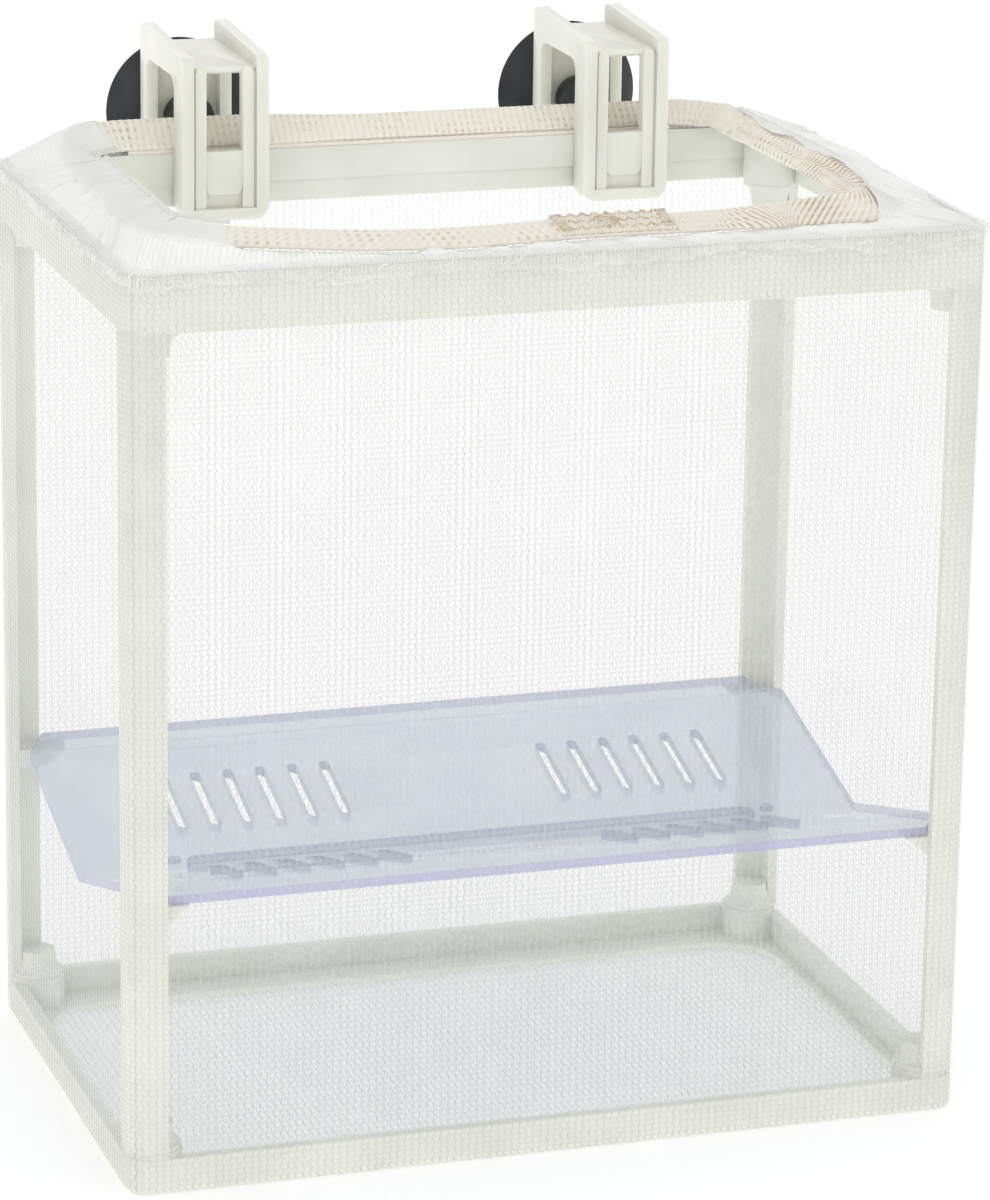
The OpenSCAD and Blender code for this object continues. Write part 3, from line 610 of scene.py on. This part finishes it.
def mouthLine(step=0.3 * mm):
    m = mouthShape
    left, right = -boxW / 2 + m["marginLeft"], boxW / 2 - m["marginRight"]
    front, rear = -boxD / 2 + m["marginFront"], boxD / 2 + m["rearOut"]
    corners = [
        (left + 1.5 * mm, rear, 13), (left, front + m["cornerSide"], 12),
        (left + m["cornerMid"], front + m["cornerStep"], 18),
        (left + m["cornerRun"], front, 60), (left + m["cornerRun"] + m["frontRun"], front, 80),
        (left + m["cornerRun"] + 2 * m["frontRun"], front + m["frontSlope"], 80),
        (boxW / 2 - m["marginFrontRight"], front + m["frontSlope"], 9), (right, rear, 8)]
    line = []
    for i, (x, y, r) in enumerate(corners):
        here = Vector((x, y))
        toward = (Vector(corners[i - 1][:2]) - here).normalized()
        away = (Vector(corners[(i + 1) % len(corners)][:2]) - here).normalized()
        half = toward.angle(away) / 2
        centre = here + (toward + away).normalized() * (r * mm / math.sin(half))
        first = here + toward * (r * mm / math.tan(half)) - centre
        last = here + away * (r * mm / math.tan(half)) - centre
        swing = first.angle_signed(last)
        for k in range(13):
            a = -swing * k / 12
            line.append(centre + Vector((first.x * math.cos(a) - first.y * math.sin(a),
                                         first.x * math.sin(a) + first.y * math.cos(a))))
    line = np.array([tuple(p) for p in line])
    line = np.vstack([line, line[:1]])
    lengths = np.concatenate([[0], np.cumsum(np.linalg.norm(np.diff(line, axis=0), axis=1))])
    count = round(lengths[-1] / step)
    at = np.arange(count) * lengths[-1] / count
    smooth = np.stack([np.interp(at, lengths, line[:, k]) for k in (0, 1)], 1)
    for _ in range(10):     # ease the joins of arcs and straights
        smooth = (np.roll(smooth, 1, 0) + 2 * smooth + np.roll(smooth, -1, 0)) / 4
    return smooth, lengths[-1]


bandLine, bandLength = mouthLine()
bandRun = np.roll(bandLine, -1, 0) - np.roll(bandLine, 1, 0)
bandRun /= np.linalg.norm(bandRun, axis=1, keepdims=True)
bandOut = np.stack([bandRun[:, 1], -bandRun[:, 0]], 1)


def bandForm():
    m = mouthShape
    right = boxW / 2 - m["marginFrontRight"]
    first = np.where(bandLine[:, 0] < 0, boxD / 2 + m["rearOut"] + m["twistLeft"][0],
                     -boxD / 2 + m["marginFront"] + m["twistRight"][0])
    last = np.where(bandLine[:, 0] < 0, boxD / 2 + m["rearOut"] + m["twistLeft"][1],
                    -boxD / 2 + m["marginFront"] + m["twistRight"][1])
    share = smoothStep((bandLine[:, 1] - first) / (last - first))
    forward = -m["frontLean"] - (m["rightLean"] - m["frontLean"]) * smoothStep(
        (bandLine[:, 0] - right + m["twistFront"]) / m["twistFront"])
    lean = np.radians(forward + (m["rearLean"] - forward) * share)
    halfWidth = (m["width"] + (m["rearWidth"] - m["width"]) * share) / 2
    alongRear = smoothStep((bandLine[:, 1] - 0.045) / 0.005)
    halfWidth += 0.6 * mm * alongRear * smoothStep((-0.005 - bandLine[:, 0]) / 0.03)
    height = (boxH + m["thickness"] / 2 + 0.15 * mm + halfWidth * np.abs(np.sin(lean))
              - m["rearSink"] * alongRear)
    return share, lean, halfWidth, height


rearShare, bandLean, bandHalf, bandHeight = bandForm()


def bandPoint(i, across, lift):
    # points of the band from its middle: across towards its outer edge, lift along its top
    c, s = np.cos(bandLean[i]), np.sin(bandLean[i])
    flat = across * c - lift * s
    return np.stack([bandLine[i, 0] + bandOut[i, 0] * flat, bandLine[i, 1] + bandOut[i, 1] * flat,
                     bandHeight[i] + across * s + lift * c], 1)


# The elastic itself: a closed sweep whose two faces carry rows of knitted loops
def elasticBand():
    m = mouthShape
    count = len(bandLine)
    across = np.concatenate([np.linspace(-1, 1, 26), np.linspace(1, -1, 26)])
    side = np.concatenate([np.ones(26), -np.ones(26)])
    i = np.repeat(np.arange(count), len(across))
    t = np.tile(across, count)
    s = np.tile(side, count)
    u = i * bandLength / count
    v = t * bandHalf[i]
    # holes between the loops stand in rows; at the front right, where the band is stretched
    # most, they run together into slanting ribs, along the rear they stand closer
    x, y = bandLine[i, 0], bandLine[i, 1]
    slant = smoothStep((x - 0.022) / 0.025) * (y < 0)
    close = smoothStep((y - 0.03) / 0.02)
    rowAt = (v / (2 * bandHalf[i]) + 0.5) * 4
    fromRow = rowAt - np.floor(rowAt) - 0.5
    pitch = (1.85 - 0.45 * slant - 0.5 * close) * mm
    along = (u + (0.25 + 0.5 * slant) * v * (1 - close)) / pitch
    along += 0.5 * (np.floor(rowAt) % 2) * (1 - slant) * (1 - close)
    fromHole = along - np.round(along)
    hole = np.exp(-(fromHole / 0.24) ** 2) * np.exp(-(fromRow / 0.26) ** 2
                                                    * (1 - slant))
    rib = np.cos(fromHole * 2 * math.pi)
    uneven = 0.7 + 0.3 * waves(u, v, 0.012, 3)
    # the loop height also colours the elastic: painted shade in the holes, a painted highlight on
    # the loop tops
    loopHeight = (0.76 - (0.1 + 0.02 * close + 0.12 * slant) * rib
                  - 0.6 * hole * uneven)
    loopHeight += 0.06 * np.cos(fromRow * 2 * math.pi)
    # the right side is folded along its length
    fold = smoothStep((x - 0.055) / 0.008) * smoothStep((y + 0.03) / 0.015)
    fold *= smoothStep((0.05 - y) / 0.015) * waves(u, v * 9, 0.02, 17)
    edge = np.sqrt(np.clip(1 - np.abs(t) ** 6, 0, 1))
    lift = s * (m["thickness"] / 2 * edge + 0.22 * mm * (loopHeight - 1) * (np.abs(t) < 0.99))
    lift += 0.45 * mm * fold
    scallop = v * (1 - 0.012 * rib * (np.abs(t) > 0.9))
    points = bandPoint(i, scallop, lift)
    n = len(across)
    faces = [(a * n + k, ((a + 1) % count) * n + k, ((a + 1) % count) * n + (k + 1) % n,
              a * n + (k + 1) % n) for a in range(count) for k in range(n)]
    band = meshObject("elasticBand", points, faces, elasticMaterial)
    band.data.attributes.new("loopHeight", "FLOAT", "POINT").data.foreach_set(
        "value", loopHeight.astype(np.float32))
    band.data.shade_smooth()
    shape = bmesh.new()
    shape.from_mesh(band.data)
    bmesh.ops.remove_doubles(shape, verts=shape.verts, dist=0.002 * mm)
    bmesh.ops.recalc_face_normals(shape, faces=shape.faces)
    shape.to_mesh(band.data)
    shape.free()
    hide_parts("elastic_band")
    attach(band, "box")
    return band


elasticBand()
print("elastic ready")


# Sewn overlap on the front of the elastic, with zigzag stitches along it
jointShape = {"middle": 11.5 * mm, "length": 23 * mm, "thickness": 0.8 * mm, "rows": 4}


def elasticJoint():
    j = jointShape
    inFront = np.where(bandLine[:, 1] < 0)[0]
    middle = inFront[np.argmin(np.abs(bandLine[inFront, 0] - j["middle"]))]
    step = bandLength / len(bandLine)
    half = round(j["length"] / 2 / step)
    count, columns = 2 * half + 1, 18
    tape = np.repeat(np.arange(count), columns)
    t = np.tile(np.linspace(-1, 1, columns), count)
    i = (middle - half + tape) % len(bandLine)
    rim = np.clip(np.minimum(tape, count - 1 - tape) * step / (0.7 * mm), 0, 1)
    rim = np.sqrt(1 - (1 - rim) ** 2) * np.sqrt(np.clip(1 - np.abs(t) ** 8, 0, 1))
    bumps = np.cos(tape * step / (0.8 * mm) * math.pi * 2) * np.cos(t * 9)
    v = t * (bandHalf[i] - 0.5 * mm)
    lift = mouthShape["thickness"] / 2 - 0.1 * mm + (j["thickness"] + 0.1 * mm * bumps) * rim
    top = bandPoint(i, v, lift)
    low = bandPoint(i, v, np.full_like(v, mouthShape["thickness"] / 2 - 0.15 * mm))
    faces = []
    for a in range(count - 1):
        for k in range(columns - 1):
            p = a * columns + k
            faces.append((p, p + columns, p + columns + 1, p + 1))
            q = p + count * columns
            faces.append((q, q + 1, q + columns + 1, q + columns))
    border = [a * columns for a in range(count)]
    border += [(count - 1) * columns + k for k in range(1, columns)]
    border += [a * columns + columns - 1 for a in range(count - 2, -1, -1)]
    border += [k for k in range(columns - 2, 0, -1)]
    for a, b in zip(border, border[1:] + border[:1]):
        faces.append((a, a + count * columns, b + count * columns, b))
    tape = meshObject("elasticJoint", np.vstack([top, low]), faces, elasticMaterial)
    # the heights follow the bumps, so the elastic's colour gets painted shade between them and a
    # painted highlight on them
    heights = np.concatenate([0.55 + 0.4 * bumps, np.full(len(low), 0.5)])
    tape.data.attributes.new("loopHeight", "FLOAT", "POINT").data.foreach_set(
        "value", heights.astype(np.float32))
    tape.data.shade_smooth()
    shape = bmesh.new()
    shape.from_mesh(tape.data)
    bmesh.ops.recalc_face_normals(shape, faces=shape.faces)
    shape.to_mesh(tape.data)
    shape.free()
    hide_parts("elastic_joint")
    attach(tape, "box")
    return middle, half


jointMiddle, jointHalf = elasticJoint()


# Short straight stitches in rows, each row leaning to and fro, as flat work in XY
def stitchTree():
    tree, given, result = newTree("stitchRows", {
        "Count": "Int", "Rows": "Int", "Length": "Float", "Width": "Float",
        "Stitch": "Float", "Radius": "Float", "Slope": "Float", "Stray": "Float",
        "Seed": "Int", "Thread": "Material"})
    grid = put(tree, "GeometryNodeMeshGrid", {
        "Size X": given["Length"], "Size Y": given["Width"], "Vertices X": given["Count"],
        "Vertices Y": given["Rows"]})
    low = calc(tree, "MULTIPLY", given["Stray"], -1.0)
    stray = put(tree, "FunctionNodeRandomValue", {
        "Min": put(tree, "ShaderNodeCombineXYZ", {"X": low, "Y": low}).outputs[0],
        "Max": put(tree, "ShaderNodeCombineXYZ", {
            "X": given["Stray"], "Y": given["Stray"]}).outputs[0],
        "Seed": given["Seed"]}, data_type="FLOAT_VECTOR")
    spots = put(tree, "GeometryNodeSetPosition", {
        "Geometry": grid.outputs[0], "Offset": stray.outputs[0]})
    half = calc(tree, "DIVIDE", given["Stitch"], 2.0)
    line = put(tree, "GeometryNodeCurvePrimitiveLine", {
        "Start": put(tree, "ShaderNodeCombineXYZ", {
            "X": calc(tree, "MULTIPLY", half, -1.0)}).outputs[0],
        "End": put(tree, "ShaderNodeCombineXYZ", {"X": half}).outputs[0]})
    round_ = put(tree, "GeometryNodeCurvePrimitiveCircle", {
        "Resolution": 6, "Radius": given["Radius"]})
    stitch = put(tree, "GeometryNodeCurveToMesh", {
        "Curve": line.outputs[0], "Profile Curve": round_.outputs[0], "Fill Caps": True})
    index = put(tree, "GeometryNodeInputIndex").outputs[0]
    sign = calc(tree, "SUBTRACT", calc(tree, "MULTIPLY", calc(
        tree, "FLOORED_MODULO", index, 2.0), 2.0), 1.0)
    turn = put(tree, "ShaderNodeCombineXYZ", {"Z": calc(tree, "MULTIPLY", sign, given["Slope"])})
    work = put(tree, "GeometryNodeInstanceOnPoints", {
        "Points": spots.outputs[0], "Instance": stitch.outputs[0], "Rotation": turn.outputs[0]})
    real = put(tree, "GeometryNodeRealizeInstances", {"Geometry": work.outputs[0]})
    finish = put(tree, "GeometryNodeSetMaterial", {
        "Geometry": real.outputs[0], "Material": given["Thread"]})
    tree.links.new(finish.outputs[0], result.inputs[0])
    return tree


stitches = stitchTree()
stitchWork = [
    # count, rows, length and width in mm, stitch in mm, slope, middle along and across in mm
    (19, 3, 20.5, 5.4, 1.5, 0.95, 0, 0),
    (2, 7, 0.9, 6.4, 1.2, 0.1, -10.4, 0),
    (2, 7, 0.9, 6.4, 1.2, 0.1, 9.8, 0),
    (4, 5, 3.2, 3.6, 1.1, 0.3, -1.5, 0.4),
]


def jointStitches():
    step = bandLength / len(bandLine)
    for number, (count, rows, length, width, stitch, slope, along, across) in enumerate(stitchWork):
        work = grow("jointStitches%d" % (number + 1), stitches, {
            "Count": count, "Rows": rows, "Length": length * mm, "Width": width * mm,
            "Stitch": stitch * mm, "Radius": 0.17 * mm, "Slope": slope, "Stray": 0.12 * mm,
            "Seed": number + 3, "Thread": stitchMaterial})
        flat = readPoints(work)
        index = jointMiddle + (flat[:, 0] + along * mm) / step
        lift = mouthShape["thickness"] / 2 + jointShape["thickness"] - 0.02 * mm + flat[:, 2]
        points = bandAt(index, flat[:, 1] + across * mm, lift)
        writePoints(work, points)
        heights = 0.45 + 0.35 * waves(flat[:, 0], flat[:, 1], 0.004, 41 + number)
        work.data.attributes.new("loopHeight", "FLOAT", "POINT").data.foreach_set(
            "value", heights.astype(np.float32))
        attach(work, "box")


print("sewn joint ready")


# Outer edge of the elastic as a line with the same stations as the bag's outline
def pairEdges(samples):
    # four stations: the front left, front right, rear right and rear left corners
    corner = bagShape["cornerRadius"]
    wide = boxW - 2 * corner + corner * math.pi / 2
    deep = boxD - 2 * corner + corner * math.pi / 2
    outer = np.array([0, wide, wide + deep, 2 * wide + deep, 2 * wide + 2 * deep])
    marks = [(-1, -0.62), (1, -1), (1, 1), (-1, 1)]
    reach = np.array([boxW / 2, boxD / 2])
    inner = []
    for mark in marks:
        want = np.array(mark) * reach
        inner.append(int(np.argmin(np.linalg.norm(bandLine - want, axis=1))))
    count = len(bandLine)
    inner = [k - inner[0] for k in inner]
    inner = [k % count for k in inner] + [count]
    start = int(np.argmin(np.linalg.norm(bandLine - np.array(marks[0]) * reach, axis=1)))
    distance = np.interp(samples, np.linspace(0, 4, 5), outer)
    index = (np.interp(samples, np.linspace(0, 4, 5), inner) + start) % count
    return distance, index


def bandAt(index, across, lift):
    low = np.floor(index).astype(int)
    share = (index - low)[:, None]
    return (bandPoint(low % len(bandLine), across, lift) * (1 - share)
            + bandPoint((low + 1) % len(bandLine), across, lift) * share)


jointStitches()


# Cuff: the bag's top, gathered from the outer edge in to the elastic; on the left and at the
# front right corner it climbs over the elastic, on the right it covers the outer half
cuffShape = {"fullness": 1.5, "rows": 13, "course": 1.9 * mm, "ripple": 0.7 * mm,
             "crown": 0.35 * mm, "cover": 0.28 * mm}


def coverAt(index):
    x = np.interp(index % len(bandLine), np.arange(len(bandLine)), bandLine[:, 0])
    y = np.interp(index % len(bandLine), np.arange(len(bandLine)), bandLine[:, 1])
    left = smoothStep((-0.055 - x) / 0.006)
    corner = smoothStep((x - 0.060) / 0.006) * smoothStep((-0.030 - y) / 0.008)
    right = smoothStep((x - 0.059) / 0.004) * smoothStep((0.050 - y) / 0.012) * (1 - corner)
    end = -0.93 * left - 0.9 * corner + (0.72 + 0.2 * waves(index, 0 * index, 50, 8)) * right
    return np.clip(left + corner + right, 0, 1), end


def cuffPanel():
    c = cuffShape
    flatDepth = c["rows"] * c["course"]
    width = outlineTotal * c["fullness"]
    panel = knitSheet("netCuff", width, flatDepth, course=c["course"], thin=0.7,
                      thread=cuffMaterial)
    flat = readPoints(panel)
    station = np.clip(flat[:, 0] / width, 0, 1) * 4
    t = np.clip(flat[:, 1] / flatDepth, 0, 1)
    distance, index = pairEdges(station)
    place, normal = alongOutline(distance)
    r = bagShape["edgeRadius"]
    outerInset = r * (1 - math.cos(math.pi / 4)) + bagShape["depth"]
    outer = np.empty((len(flat), 3))
    outer[:, :2] = place - normal * outerInset
    outer[:, 2] = boxH - r + r * math.sin(math.pi / 4) - bagShape["depth"] * 0.5
    half = np.interp(index % len(bandLine), np.arange(len(bandLine)), bandHalf)
    low = np.full(len(flat), -mouthShape["thickness"] / 2)
    over, end = coverAt(index)
    under = bandAt(index, half - 0.6 * mm, low)
    rim = bandAt(index, half + 0.15 * mm, c["cover"] - low * 0.6)
    reach = np.clip((t - 0.5) / 0.5, 0, 1)
    cross = half * (1 - (1 - end) * reach)
    top = bandAt(index, cross, np.full(len(flat), c["cover"]) - low)
    climb = np.where(t[:, None] < 0.5, outer * (1 - 2 * t[:, None]) + rim * 2 * t[:, None], top)
    points = (outer * (1 - t[:, None]) + under * t[:, None]) * (1 - over[:, None])
    points += climb * over[:, None]
    slack = np.sin(np.clip(t * (1 + over), 0, 1) * math.pi)
    gather = waves(distance, t * 0.002, 0.009, 5) * c["ripple"] * slack ** 0.7
    gather += 0.1 * mm * waves(distance, t * 0.01, 0.004, 6) * over * reach
    points[:, 2] += gather + c["crown"] * slack + flat[:, 2]
    points[:, :2] += normal * (gather * 0.3)[:, None]
    writePoints(panel, points)
    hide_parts("cuff_front", "cuff_rear", "cuff_left", "cuff_right")
    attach(panel, "box")
    return panel


cuff = cuffPanel()
print("cuff ready")


def roundCord(name, centres, radius, material, sides=8):
    # round cord with closed ends along a line of points, its radius given at each
    run = np.gradient(centres, axis=0)
    run /= np.linalg.norm(run, axis=1, keepdims=True)
    side = np.cross(run, (0, 0, 1))
    side /= np.linalg.norm(side, axis=1, keepdims=True)
    up = np.cross(side, run)
    angle = np.arange(sides) * 2 * math.pi / sides
    rings = (centres[:, None] + radius[:, None, None] * (
        np.cos(angle)[None, :, None] * side[:, None] + np.sin(angle)[None, :, None] * up[:, None]))
    count = len(centres)
    faces = [(a * sides + k, a * sides + (k + 1) % sides, (a + 1) * sides + (k + 1) % sides,
              (a + 1) * sides + k) for a in range(count - 1) for k in range(sides)]
    faces += [tuple(range(sides))[::-1], tuple((count - 1) * sides + k for k in range(sides))]
    cord = meshObject(name, rings.reshape(-1, 3), faces, material)
    shape = bmesh.new()
    shape.from_mesh(cord.data)
    bmesh.ops.recalc_face_normals(shape, faces=shape.faces)
    shape.to_mesh(cord.data)
    shape.free()
    cord.data.attributes.new("loopHeight", "FLOAT", "POINT").data.foreach_set(
        "value", np.full(len(cord.data.vertices), 0.6, dtype=np.float32))
    cord.data.shade_smooth()
    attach(cord, "box")


# Rolled edges: the net's hem where it lies over the elastic, and the bead under its rear
def rolledEdges():
    count = len(bandLine)
    corner = int(np.argmax(bandLine[:, 0] - 0.5 * bandLine[:, 1]))
    for side, middle in (("Left", int(np.argmin(bandLine[:, 0]))), ("Right", corner)):
        span = np.arange(-count // 5, count // 5)
        over, end = coverAt((middle + span) % count)
        index = (middle + span[(over > 0.8) & (end < -0.6)]).astype(float)
        half = bandHalf[index.astype(int) % count]
        lift = np.full(len(index), mouthShape["thickness"] / 2 + 0.35 * mm)
        line = bandAt(index, -0.95 * half, lift)
        wobble = 1 + 0.18 * waves(index, index * 0, 14, 31)
        roundCord("cuffHem" + side, line, 0.42 * mm * wobble, hemMaterial)
    rearward = np.where((bandLine[:, 1] > boxD / 2 - 0.001) & (np.abs(bandLine[:, 0]) < 0.056))[0]
    order = rearward[np.argsort(bandLine[rearward, 0])]
    line = np.empty((len(order), 3))
    line[:, 0] = bandLine[order, 0]
    line[:, 1] = boxD / 2 - 2.35 * mm + 0.12 * mm * waves(line[:, 0], line[:, 0] * 0, 0.03, 32)
    line[:, 2] = boxH - 0.25 * mm
    beads = 1 + 0.1 * np.cos(line[:, 0] / (1.6 * mm) * 2 * math.pi)
    roundCord("rearBead", line, 0.5 * mm * beads, elasticMaterial)


rolledEdges()
print("rolled edges ready")


# Frill: the seam allowance that hangs over the top edge of the walls, ragged and waved
frillShape = {"rows": 6, "course": 1.1 * mm, "fullness": 1.7, "drop": 2.6 * mm,
              "uneven": 0.7 * mm, "stand": 0.35 * mm}


def frillPanel():
    f = frillShape
    width = outlineTotal * f["fullness"]
    depth = f["rows"] * f["course"]
    panel = knitSheet("netFrill", width, depth, pitch=1.3 * mm, course=f["course"], thin=0.9,
                      thread=frillMaterial)
    flat = readPoints(panel)
    u = flat[:, 0] / width * outlineTotal
    t = np.clip(flat[:, 1] / depth, 0, 1)
    place, normal = alongOutline(u)
    drop = f["drop"] + f["uneven"] * waves(u, u * 0, 0.034, 21)
    drop = np.clip(drop + 0.35 * mm * waves(u, u * 0, 0.007, 23), 0.8 * mm, 8 * mm)
    ripple = waves(u, t * 0.003, 0.006, 22)
    # from on top of the edge, over it and down
    bend = smoothStep(t * 2.2)
    outward = -2.2 * mm * (1 - bend) + (0.15 * mm + f["stand"] * t * (1 + 0.7 * ripple)) * bend
    z = boxH + 0.5 * mm * (1 - bend) - drop * np.clip(t - 0.25, 0, 1) / 0.75 + 0.3 * mm * ripple * t
    points = np.empty_like(flat)
    points[:, :2] = place + normal * (outward + flat[:, 2])[:, None]
    points[:, 2] = z
    writePoints(panel, points)
    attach(panel, "box")
    return panel


frill = frillPanel()


# Loose thread ends along the seam: short arcs, each turned and sized at random
def threadTree():
    tree, given, result = newTree("looseThreads", {
        "Count": "Int", "Length": "Float", "Depth": "Float", "Size": "Float", "Radius": "Float",
        "Seed": "Int", "Thread": "Material"})
    step = calc(tree, "DIVIDE", given["Length"], given["Count"])
    line = put(tree, "GeometryNodeMeshLine", {
        "Count": given["Count"], "Start Location": (0, 0, 0),
        "Offset": put(tree, "ShaderNodeCombineXYZ", {"X": step}).outputs[0]})
    stray = put(tree, "FunctionNodeRandomValue", {
        "Min": (0, 0, 0), "Max": put(tree, "ShaderNodeCombineXYZ", {
            "X": step, "Y": given["Depth"]}).outputs[0], "Seed": given["Seed"]},
        data_type="FLOAT_VECTOR")
    spots = put(tree, "GeometryNodeSetPosition", {
        "Geometry": line.outputs[0], "Offset": stray.outputs[0]})
    arc = put(tree, "GeometryNodeCurveArc", {
        "Resolution": 9, "Radius": given["Size"], "Start Angle": 0.0, "Sweep Angle": 1.6},
        mode="RADIUS")
    round_ = put(tree, "GeometryNodeCurvePrimitiveCircle", {
        "Resolution": 5, "Radius": given["Radius"]})
    strand = put(tree, "GeometryNodeCurveToMesh", {
        "Curve": arc.outputs[0], "Profile Curve": round_.outputs[0], "Fill Caps": True})
    turn = put(tree, "FunctionNodeRandomValue", {
        "Min": (-0.12, -0.12, -3.1), "Max": (0.12, 0.12, 3.1),
        "Seed": calc(tree, "ADD", given["Seed"], 1.0)}, data_type="FLOAT_VECTOR")
    size = put(tree, "FunctionNodeRandomValue", {
        2: 0.45, 3: 1.5, "Seed": calc(tree, "ADD", given["Seed"], 2.0)}, data_type="FLOAT")
    many = put(tree, "GeometryNodeInstanceOnPoints", {
        "Points": spots.outputs[0], "Instance": strand.outputs[0], "Rotation": turn.outputs[0],
        "Scale": size.outputs[1]})
    real = put(tree, "GeometryNodeRealizeInstances", {"Geometry": many.outputs[0]})
    finish = put(tree, "GeometryNodeSetMaterial", {
        "Geometry": real.outputs[0], "Material": given["Thread"]})
    tree.links.new(finish.outputs[0], result.inputs[0])
    return tree


def looseThreads():
    work = grow("looseThreads", threadTree(), {
        "Count": 320, "Length": outlineTotal, "Depth": 2.4 * mm, "Size": 0.9 * mm,
        "Radius": 0.08 * mm, "Seed": 12, "Thread": frillMaterial})
    flat = readPoints(work)
    place, normal = alongOutline(flat[:, 0])
    outward = 0.75 * mm + flat[:, 2]
    bend = smoothStep((flat[:, 1] + 1.5 * mm) / (2.5 * mm))
    points = np.empty_like(flat)
    points[:, :2] = place + normal * (outward * bend + (flat[:, 1] - 0.5 * mm) * (1 - bend))[:, None]
    points[:, 2] = boxH + (outward + 0.1 * mm) * (1 - bend) - np.clip(flat[:, 1], 0, 1) * bend
    writePoints(work, points)
    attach(work, "box")


looseThreads()
print("frill ready")


# Floor, daylight-like lamps and a white surround
studio = {
    "floorSize": 4.0, "floorGlow": 0.6, "floorSeen": 0.16,
    "keyPower": 1.15, "fillPower": 0.6, "backPower": 1.7, "lowPower": 1.3, "surround": 0.88,
}


def studioFloor():
    half = studio["floorSize"] / 2
    floor = meshObject("studioFloor", [(-half, -half, 0), (half, -half, 0), (half, half, 0),
                                       (-half, half, 0)], [(0, 1, 2, 3)], None)
    material, tree, shader = newMaterial("studioFloor", 0.9, Specular_IOR_Level=0.1)
    tree.links.new(ramp(tree, objectNoise(tree, 3), [
        (0.3, hexColour("F6F6F6")), (0.7, hexColour("FCFCFC"))]), shader.inputs["Base Color"])
    shader.inputs["Emission Color"].default_value = (1, 1, 1, 1)
    # seen by the camera the floor is just white, and it sends more light up than that
    ray = put(tree, "ShaderNodeLightPath").outputs
    seen = calc(tree, "MAXIMUM", ray["Is Camera Ray"], calc(
        tree, "MAXIMUM", ray["Is Glossy Ray"], ray["Is Transmission Ray"]))
    tree.links.new(calc(tree, "MULTIPLY_ADD", seen, studio["floorSeen"] - studio["floorGlow"],
                        studio["floorGlow"]), shader.inputs["Emission Strength"])
    floor.data.materials[0] = material


def areaLamp(name, power, size, place, target=(0, 0, 0.09)):
    data = bpy.data.lights.new(name, "AREA")
    data.energy, data.size = power, size
    lamp = bpy.data.objects.new(name, data)
    scene.collection.objects.link(lamp)
    aim = Vector(target) - Vector(place)
    lamp.matrix_world = Matrix.Translation(place) @ aim.to_track_quat("-Z", "Y").to_matrix().to_4x4()


studioFloor()
areaLamp("keyLamp", studio["keyPower"], 1.0, (0.9, -0.9, 1.1))
areaLamp("fillLamp", studio["fillPower"], 1.1, (-1.2, -0.6, 0.8))
areaLamp("backLamp", studio["backPower"], 1.0, (0.2, 1.2, 1.0))
areaLamp("lowLamp", studio["lowPower"], 0.9, (-0.9, -1.0, 0.35), (0, 0, 0.04))

world = bpy.data.worlds.new("surround")
scene.world = world
world.use_nodes = True
surround = world.node_tree
rays = put(surround, "ShaderNodeLightPath")
seen = calc(surround, "MAXIMUM", rays.outputs["Is Camera Ray"], calc(
    surround, "MAXIMUM", rays.outputs["Is Glossy Ray"], rays.outputs["Is Transmission Ray"]))
surround.links.new(put(surround, "ShaderNodeMapRange", {
    "Value": seen, "To Min": studio["surround"], "To Max": 1.0}).outputs[0],
    surround.nodes["Background"].inputs["Strength"])
surround.nodes["Background"].inputs["Color"].default_value = (1, 1, 1, 1)
print("studio ready")
